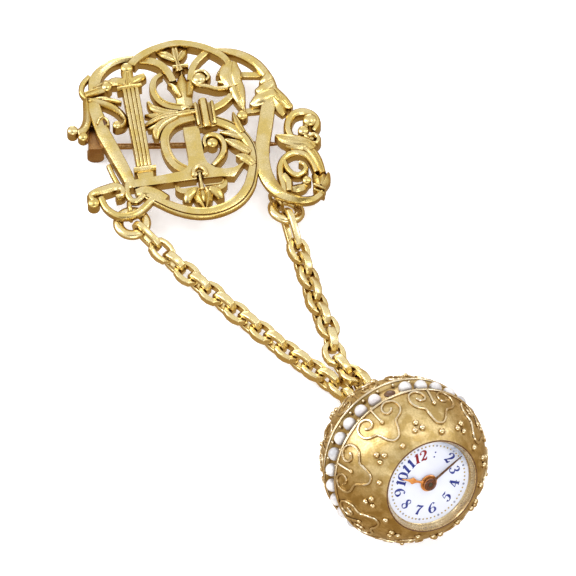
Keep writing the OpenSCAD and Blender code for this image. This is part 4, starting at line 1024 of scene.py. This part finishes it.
def make_jump_ring(name, place, finish):
    piece = ring(RING_MIDDLE, RING_WIRE, 48, 12)
    stretch(piece, (1, 1, RING_FLATNESS))
    smooth_shade(piece)
    settle(piece, name + "_round", PLAN @ place, finish, "brooch", name)


def granule():
    return ball(GRANULE_R, 14, 8)


def on_half(points, side):
    """Points of the front half, mirrored for the back half."""
    return [Vector((p.x, p.y, side * p.z)) for p in points]


def motif_line(angle):
    """The centre line of one motif's wire on the ball."""
    rows = [[polar, -across] for polar, across in reversed(HALF_MOTIF[1:])] + HALF_MOTIF
    line = smooth([[*row, 0] for row in rows], 3)
    return [on_ball(BALL_R + MOTIF_LIFT, p.x, angle + p.y) for p in line]


def stem_line(angle):
    first, last = STEM_POLAR
    steps = [k / (STEM_POINTS - 1) for k in range(STEM_POINTS)]
    return [on_ball(BALL_R + STEM_LIFT, first + (last - first) * step, angle) for step in steps]


def make_filigree(name, side, finish, shine, body):
    """Wires and granules soldered on one half of the ball."""
    parts = []
    beads = []
    for i in range(MOTIFS):
        angle = MOTIF_ANGLE + 360 * i / MOTIFS
        parts.append(wire(on_half(motif_line(angle), side), MOTIF_WIRE))
        parts.append(wire(on_half(stem_line(angle), side), STEM_WIRE))
        for polar, lift, size in (STEM_GRAIN, SINGLE_GRAIN):
            beads.append((on_ball(BALL_R + lift, polar, angle), size))
        around = turn(angle + 180 / MOTIFS, "Z") @ turn(CLUSTER_POLAR, "Y")
        for k in range(3):
            beads.append((around @ turn(120 * k, "Z") @ Vector((CLUSTER_R, 0, BALL_R + CLUSTER_LIFT)), 1))
    places = []
    for spot, size in beads:
        grow = size * (1 + GRAIN_SPREAD * seeded.uniform(-1, 1))
        places.append(Matrix.Translation(on_half([spot], side)[0]) @ Matrix.Scale(grow, 4))
    grains = copies(granule(), places)
    smooth_shade(grains)
    settle(grains, name + "_granules", BALL, shine, body)
    filigree = join(parts)
    smooth_shade(filigree)
    settle(filigree, name, BALL, finish, body)


def make_front(finish, cement, wires, shine):
    """The front half: its dome, the belt's channel and the lip that turns in the back half."""
    profile = (FRONT_RIM + arc(BALL_R, *FRONT_POLAR, 26) + BELT_LIP
               + [[radius, -height] for radius, height in reversed(BELT_LIP)] + FRONT_INSIDE)
    dome = turned(profile, BALL_SIDES)
    dome.data.materials.append(finish)
    dome.data.materials.append(cement)
    for face in dome.data.polygons:
        radius = math.hypot(face.center.x, face.center.y)
        face.material_index = 1 if abs(face.center.z) < BELT_Z and radius > CHANNEL_R else 0
    smooth_shade(dome, 35)
    settle(dome, "ball_front", BALL, None, "watch_front", "front_shell")
    rail_r = math.sqrt(BALL_R ** 2 - RAIL_Z ** 2) + RAIL_OUT
    belt = [ring(rail_r, RAIL_WIRE, BALL_SIDES, 10, (0, 0, side * RAIL_Z)) for side in (-1, 1)]
    beads = []
    for k in range(PEARL_PLACES):
        angle = FIRST_PEARL + 360 * (k + 0.5) / PEARL_PLACES
        for side in (-1, 1):
            spot = turn(angle, "Z") @ Vector((BEAD_RING, 0, side * BEAD_Z))
            beads.append(Matrix.Translation(spot) @ Matrix.Scale(BEAD_R / GRANULE_R, 4))
    belt.append(copies(granule(), beads))
    belt = join(belt)
    smooth_shade(belt)
    settle(belt, "belt_wires", BALL, wires, "watch_front")
    make_filigree("filigree_front", 1, wires, shine, "watch_front")


def make_back(finish, wires, shine):
    """The back half: its dome, the collar and the eye that the bow hangs in."""
    outer = arc(BALL_R, *BACK_POLAR, 30)
    inner = arc(BALL_R - WALL, *BACK_INSIDE_POLAR, 24)
    dome = turned(outer + inner + outer[:1], BALL_SIDES)
    collar = disc(COLLAR_R, COLLAR_H, 32, (0, 0, PENDANT_Z + COLLAR_H))
    soften(collar, COLLAR_EDGE, 3)
    eye = ring(PENDANT_MIDDLE, PENDANT_WIRE, 32, 12, (0, 0, PENDANT_Z), (90, 0, 0))
    dome = join([dome, collar, eye])
    smooth_shade(dome, 45)
    settle(dome, "ball_back", BALL, finish, "brooch", "back_shell")
    make_filigree("filigree_back", -1, wires, shine, "brooch")


def make_seat(cement):
    """The empty seat of the lost pearl, full of old cement."""
    seat = ball(SEAT_R, 20, 12)
    stretch(seat, (SEAT_DEPTH, 1, 1))
    smooth_shade(seat)
    place = turn(FIRST_PEARL, "Z") @ Matrix.Translation((BELT_R + SEAT_OUT, 0, 0))
    settle(seat, "empty_seat", BALL @ place, cement, "watch_front")


def make_bezel(finish, line):
    """A polished cone down to the dial, with a dark seam round its lip."""
    cone = turned(BEZEL, 128)
    smooth_shade(cone, 50)
    settle(cone, "bezel_ring", BALL, finish, "watch_front", "bezel")
    seam = ring(RIM_R, SEAM_WIRE, 128, 8, (0, 0, SEAM_Z))
    smooth_shade(seam)
    settle(seam, "bezel_line", BALL, line, "watch_front")


def painted(digits):
    """A numeral from its strokes, leaning a little, centred."""
    strokes = []
    for i, digit in enumerate(digits):
        offset = DIGIT_STEP * (i - (len(digits) - 1) / 2)
        for row in STROKES[digit]:
            line = [[NUMERAL_H * (x + offset + NUMERAL_SLANT * y), NUMERAL_H * y,
                     STROKE_GROWTH * NUMERAL_H * w] for x, y, w in row]
            strokes.append(bar(line, 0, PAINT_T, SQUARE, steps=4))
    return join(strokes)


def worn_marks():
    return join([disc(WORN_R, PAINT_T, 9, (WORN_LEAN * away, away, PAINT_T / 2)) for away in WORN_MARKS])


def make_numerals(blue, red):
    """The hours by hand, not quite evenly spaced; of the one only two worn marks are left."""
    for hour in range(1, 13):
        figure = worn_marks() if hour == 1 else painted(str(hour))
        upright = 90 if hour in UPSIDE_DOWN else -90
        place = (turn(TWELVE - 30 * hour - NUMERAL_DRIFT.get(hour, 0), "Z")
                 @ Matrix.Translation((NUMERAL_R + NUMERAL_OUT.get(hour, 0), 0, DIAL_Z)) @ turn(upright, "Z"))
        settle(figure, "numeral_%02d" % hour, BALL @ place, red if hour == 12 else blue, "watch_front")


def make_track(finish, grey):
    """The ring of minute dots, with darker ones at the hours."""
    minutes = [m for m in range(60) if m % 5]
    hours = [m for m in range(60) if m % 5 == 0]
    for name, marks, radius, colour in (("minute_dots", minutes, MINUTE_DOT, finish),
                                        ("hour_dots", hours, HOUR_DOT, grey)):
        places = [turn(6 * m + TWELVE, "Z") @ Matrix.Translation((TRACK_R, 0, DIAL_Z + PAINT_T / 2))
                  for m in marks]
        dots = copies(disc(radius, PAINT_T, 8), places)
        settle(dots, name, BALL, colour, "watch_front")


def make_hands(copper, dark):
    """Spade hour hand and straight minute hand on two domed collets, one over the other."""
    hour = join([bar(HOUR_ARM, HOUR_Z, HOUR_Z + HOUR_T, ROUND), turned(HOUR_HUB, 40, HOUR_Z)])
    smooth_shade(hour, 40)
    settle(hour, "hour_pointer", BALL @ turn(TWELVE - HOUR_ANGLE, "Z"), copper, "hour", "hour_hand")
    minute = bar(MINUTE_ARM, MINUTE_Z, MINUTE_Z + MINUTE_T, ROUND)
    smooth_shade(minute, 40)
    hub = turned(MINUTE_HUB, 40, MINUTE_Z)
    smooth_shade(hub, 40)
    settle(hub, "minute_hub", BALL, copper, "minute", "minute_hand")
    settle(minute, "minute_pointer", BALL @ turn(TWELVE - MINUTE_ANGLE, "Z"), dark, "minute")


def dress(name, material):
    """Gives a part of the frame its finish."""
    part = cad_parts[name]
    for slot in part.material_slots:
        slot.material = material


def make_floor():
    deselect()
    bpy.ops.mesh.primitive_plane_add(size=FLOOR_SIZE)
    floor = bpy.context.object
    floor.name = "floor"
    material, tree, shader = new_material("floor_paper", {
        "Roughness": 0.9, "Emission Color": (1, 1, 1, 1), "Emission Strength": FLOOR_GLOW})
    paper = mix(tree, noise(tree, 3, 2), (0.97, 0.97, 0.97), (0.95, 0.95, 0.95))
    put(tree, shader.inputs["Base Color"], paper)
    floor.data.materials.append(material)
    floor.visible_glossy = False


def area_light(name, direction, size, radiance, mirrored, shadow):
    """A round lamp in one direction from the piece, as bright as its radiance says."""
    light = bpy.data.lights.new(name, "AREA")
    light.shape = "DISK"
    light.size = size
    light.energy = radiance * math.pi * math.pi * (size / 2) ** 2
    light.use_shadow = shadow
    light.color = LAMP_COLOUR
    lamp = bpy.data.objects.new(name, light)
    lamp.location = Vector(direction).normalized() * LAMP_REACH
    lamp.rotation_euler = lamp.location.to_track_quat("Z", "Y").to_euler()
    lamp.visible_glossy = mirrored
    bpy.context.scene.collection.objects.link(lamp)


def make_studio():
    """A light tent: bright overhead, brown low down, with a dark opening where the camera looks in."""
    world = bpy.data.worlds.new("studio")
    world.use_nodes = True
    tree = world.node_tree
    background = tree.nodes["Background"]
    direction = tree.nodes.new("ShaderNodeTexCoord").outputs["Generated"]
    height = node(tree, "ShaderNodeSeparateXYZ", {0: direction}).outputs[2]
    sky = mix(tree, ramp(tree, height, TENT_LOW, TENT_HIGH), TENT_DARK, TENT_BRIGHT)
    opening = share_along(tree, direction, TOWARDS_CAMERA)
    sky = mix(tree, ramp(tree, opening, OPENING_EDGE, OPENING_MIDDLE), sky, OPENING_DARK)
    put(tree, background.inputs[0], sky)
    put(tree, background.inputs[1], TENT_STRENGTH)
    bpy.context.scene.world = world
    for lamp in LAMPS:
        area_light(*lamp)
    bpy.context.scene.view_settings.view_transform = "Standard"


def make_camera():
    camera = bpy.data.cameras.new("camera")
    camera.lens = camera.sensor_width * CAMERA_REACH / PHOTO_WIDTH
    camera.clip_start = CAMERA_CLIP
    view = bpy.data.objects.new("camera", camera)
    aim = PLAN_SHIFT * MM
    view.location = aim + CAMERA_REACH * TOWARDS_CAMERA
    view.rotation_euler = (aim - view.location).to_track_quat("-Z", "Y").to_euler()
    bpy.context.scene.collection.objects.link(view)
    bpy.context.scene.camera = view


brooch_gold = brooch_finish()
chain_gold = chain_finish()
ball_gold = ball_finish()
wire_gold = wire_finish()
bead_gold = bead_finish()
pin_gold = pin_finish()
copper = copper_finish()
steel = steel_finish()
pearl = pearl_finish()
cement = cement_finish()
enamel = enamel_finish()
blue = paint_finish("numeral_blue", (0.012, 0.025, 0.2), (0.06, 0.09, 0.34))
red = paint_finish("numeral_red", (0.26, 0.004, 0.01), (0.42, 0.05, 0.06))
track = paint_finish("track_gold", (0.36, 0.25, 0.03), (0.5, 0.38, 0.1))
track_grey = paint_finish("track_grey", (0.2, 0.22, 0.3), (0.5, 0.5, 0.5))
# Plain brown for the seam, the seat and the minute hand, and for the painted shade of the leg's hollow
brown_paint_and_shade = paint_finish("seam_brown_and_shade", (0.09, 0.035, 0.012), (0.2, 0.1, 0.04))

make_brooch(brooch_gold, brown_paint_and_shade)
make_jump_ring("ring_left", RING_LEFT, chain_gold)
make_jump_ring("ring_right", RING_RIGHT, chain_gold)
make_chain("chain_left", left_links(), LEFT_HOOKS, FIRST_LEFT_L, LINK_L, chain_gold)
make_chain("chain_right", RIGHT_LINKS, RIGHT_HOOKS, FIRST_RIGHT_L, SHORT_LINK_L, chain_gold)
make_front(ball_gold, cement, wire_gold, bead_gold)
make_back(ball_gold, wire_gold, bead_gold)
make_seat(brown_paint_and_shade)
make_bezel(bezel_finish(), brown_paint_and_shade)
make_numerals(blue, red)
make_track(track, track_grey)
make_hands(copper, brown_paint_and_shade)
dress("pin_stem", pin_gold)
make_rounded("hinge_block", "pin_hinge", HINGE_EDGE, pin_gold)
make_rounded("catch_tube", "pin_catch", CATCH_EDGE, pin_gold)
dress("bow", chain_gold)
dress("dial", enamel)
dress("movement", steel)
dress("crystal", crystal_finish())
for i in range(1, PEARL_PLACES):
    dress("pearl_%02d" % i, pearl)
make_floor()
make_studio()
make_camera()
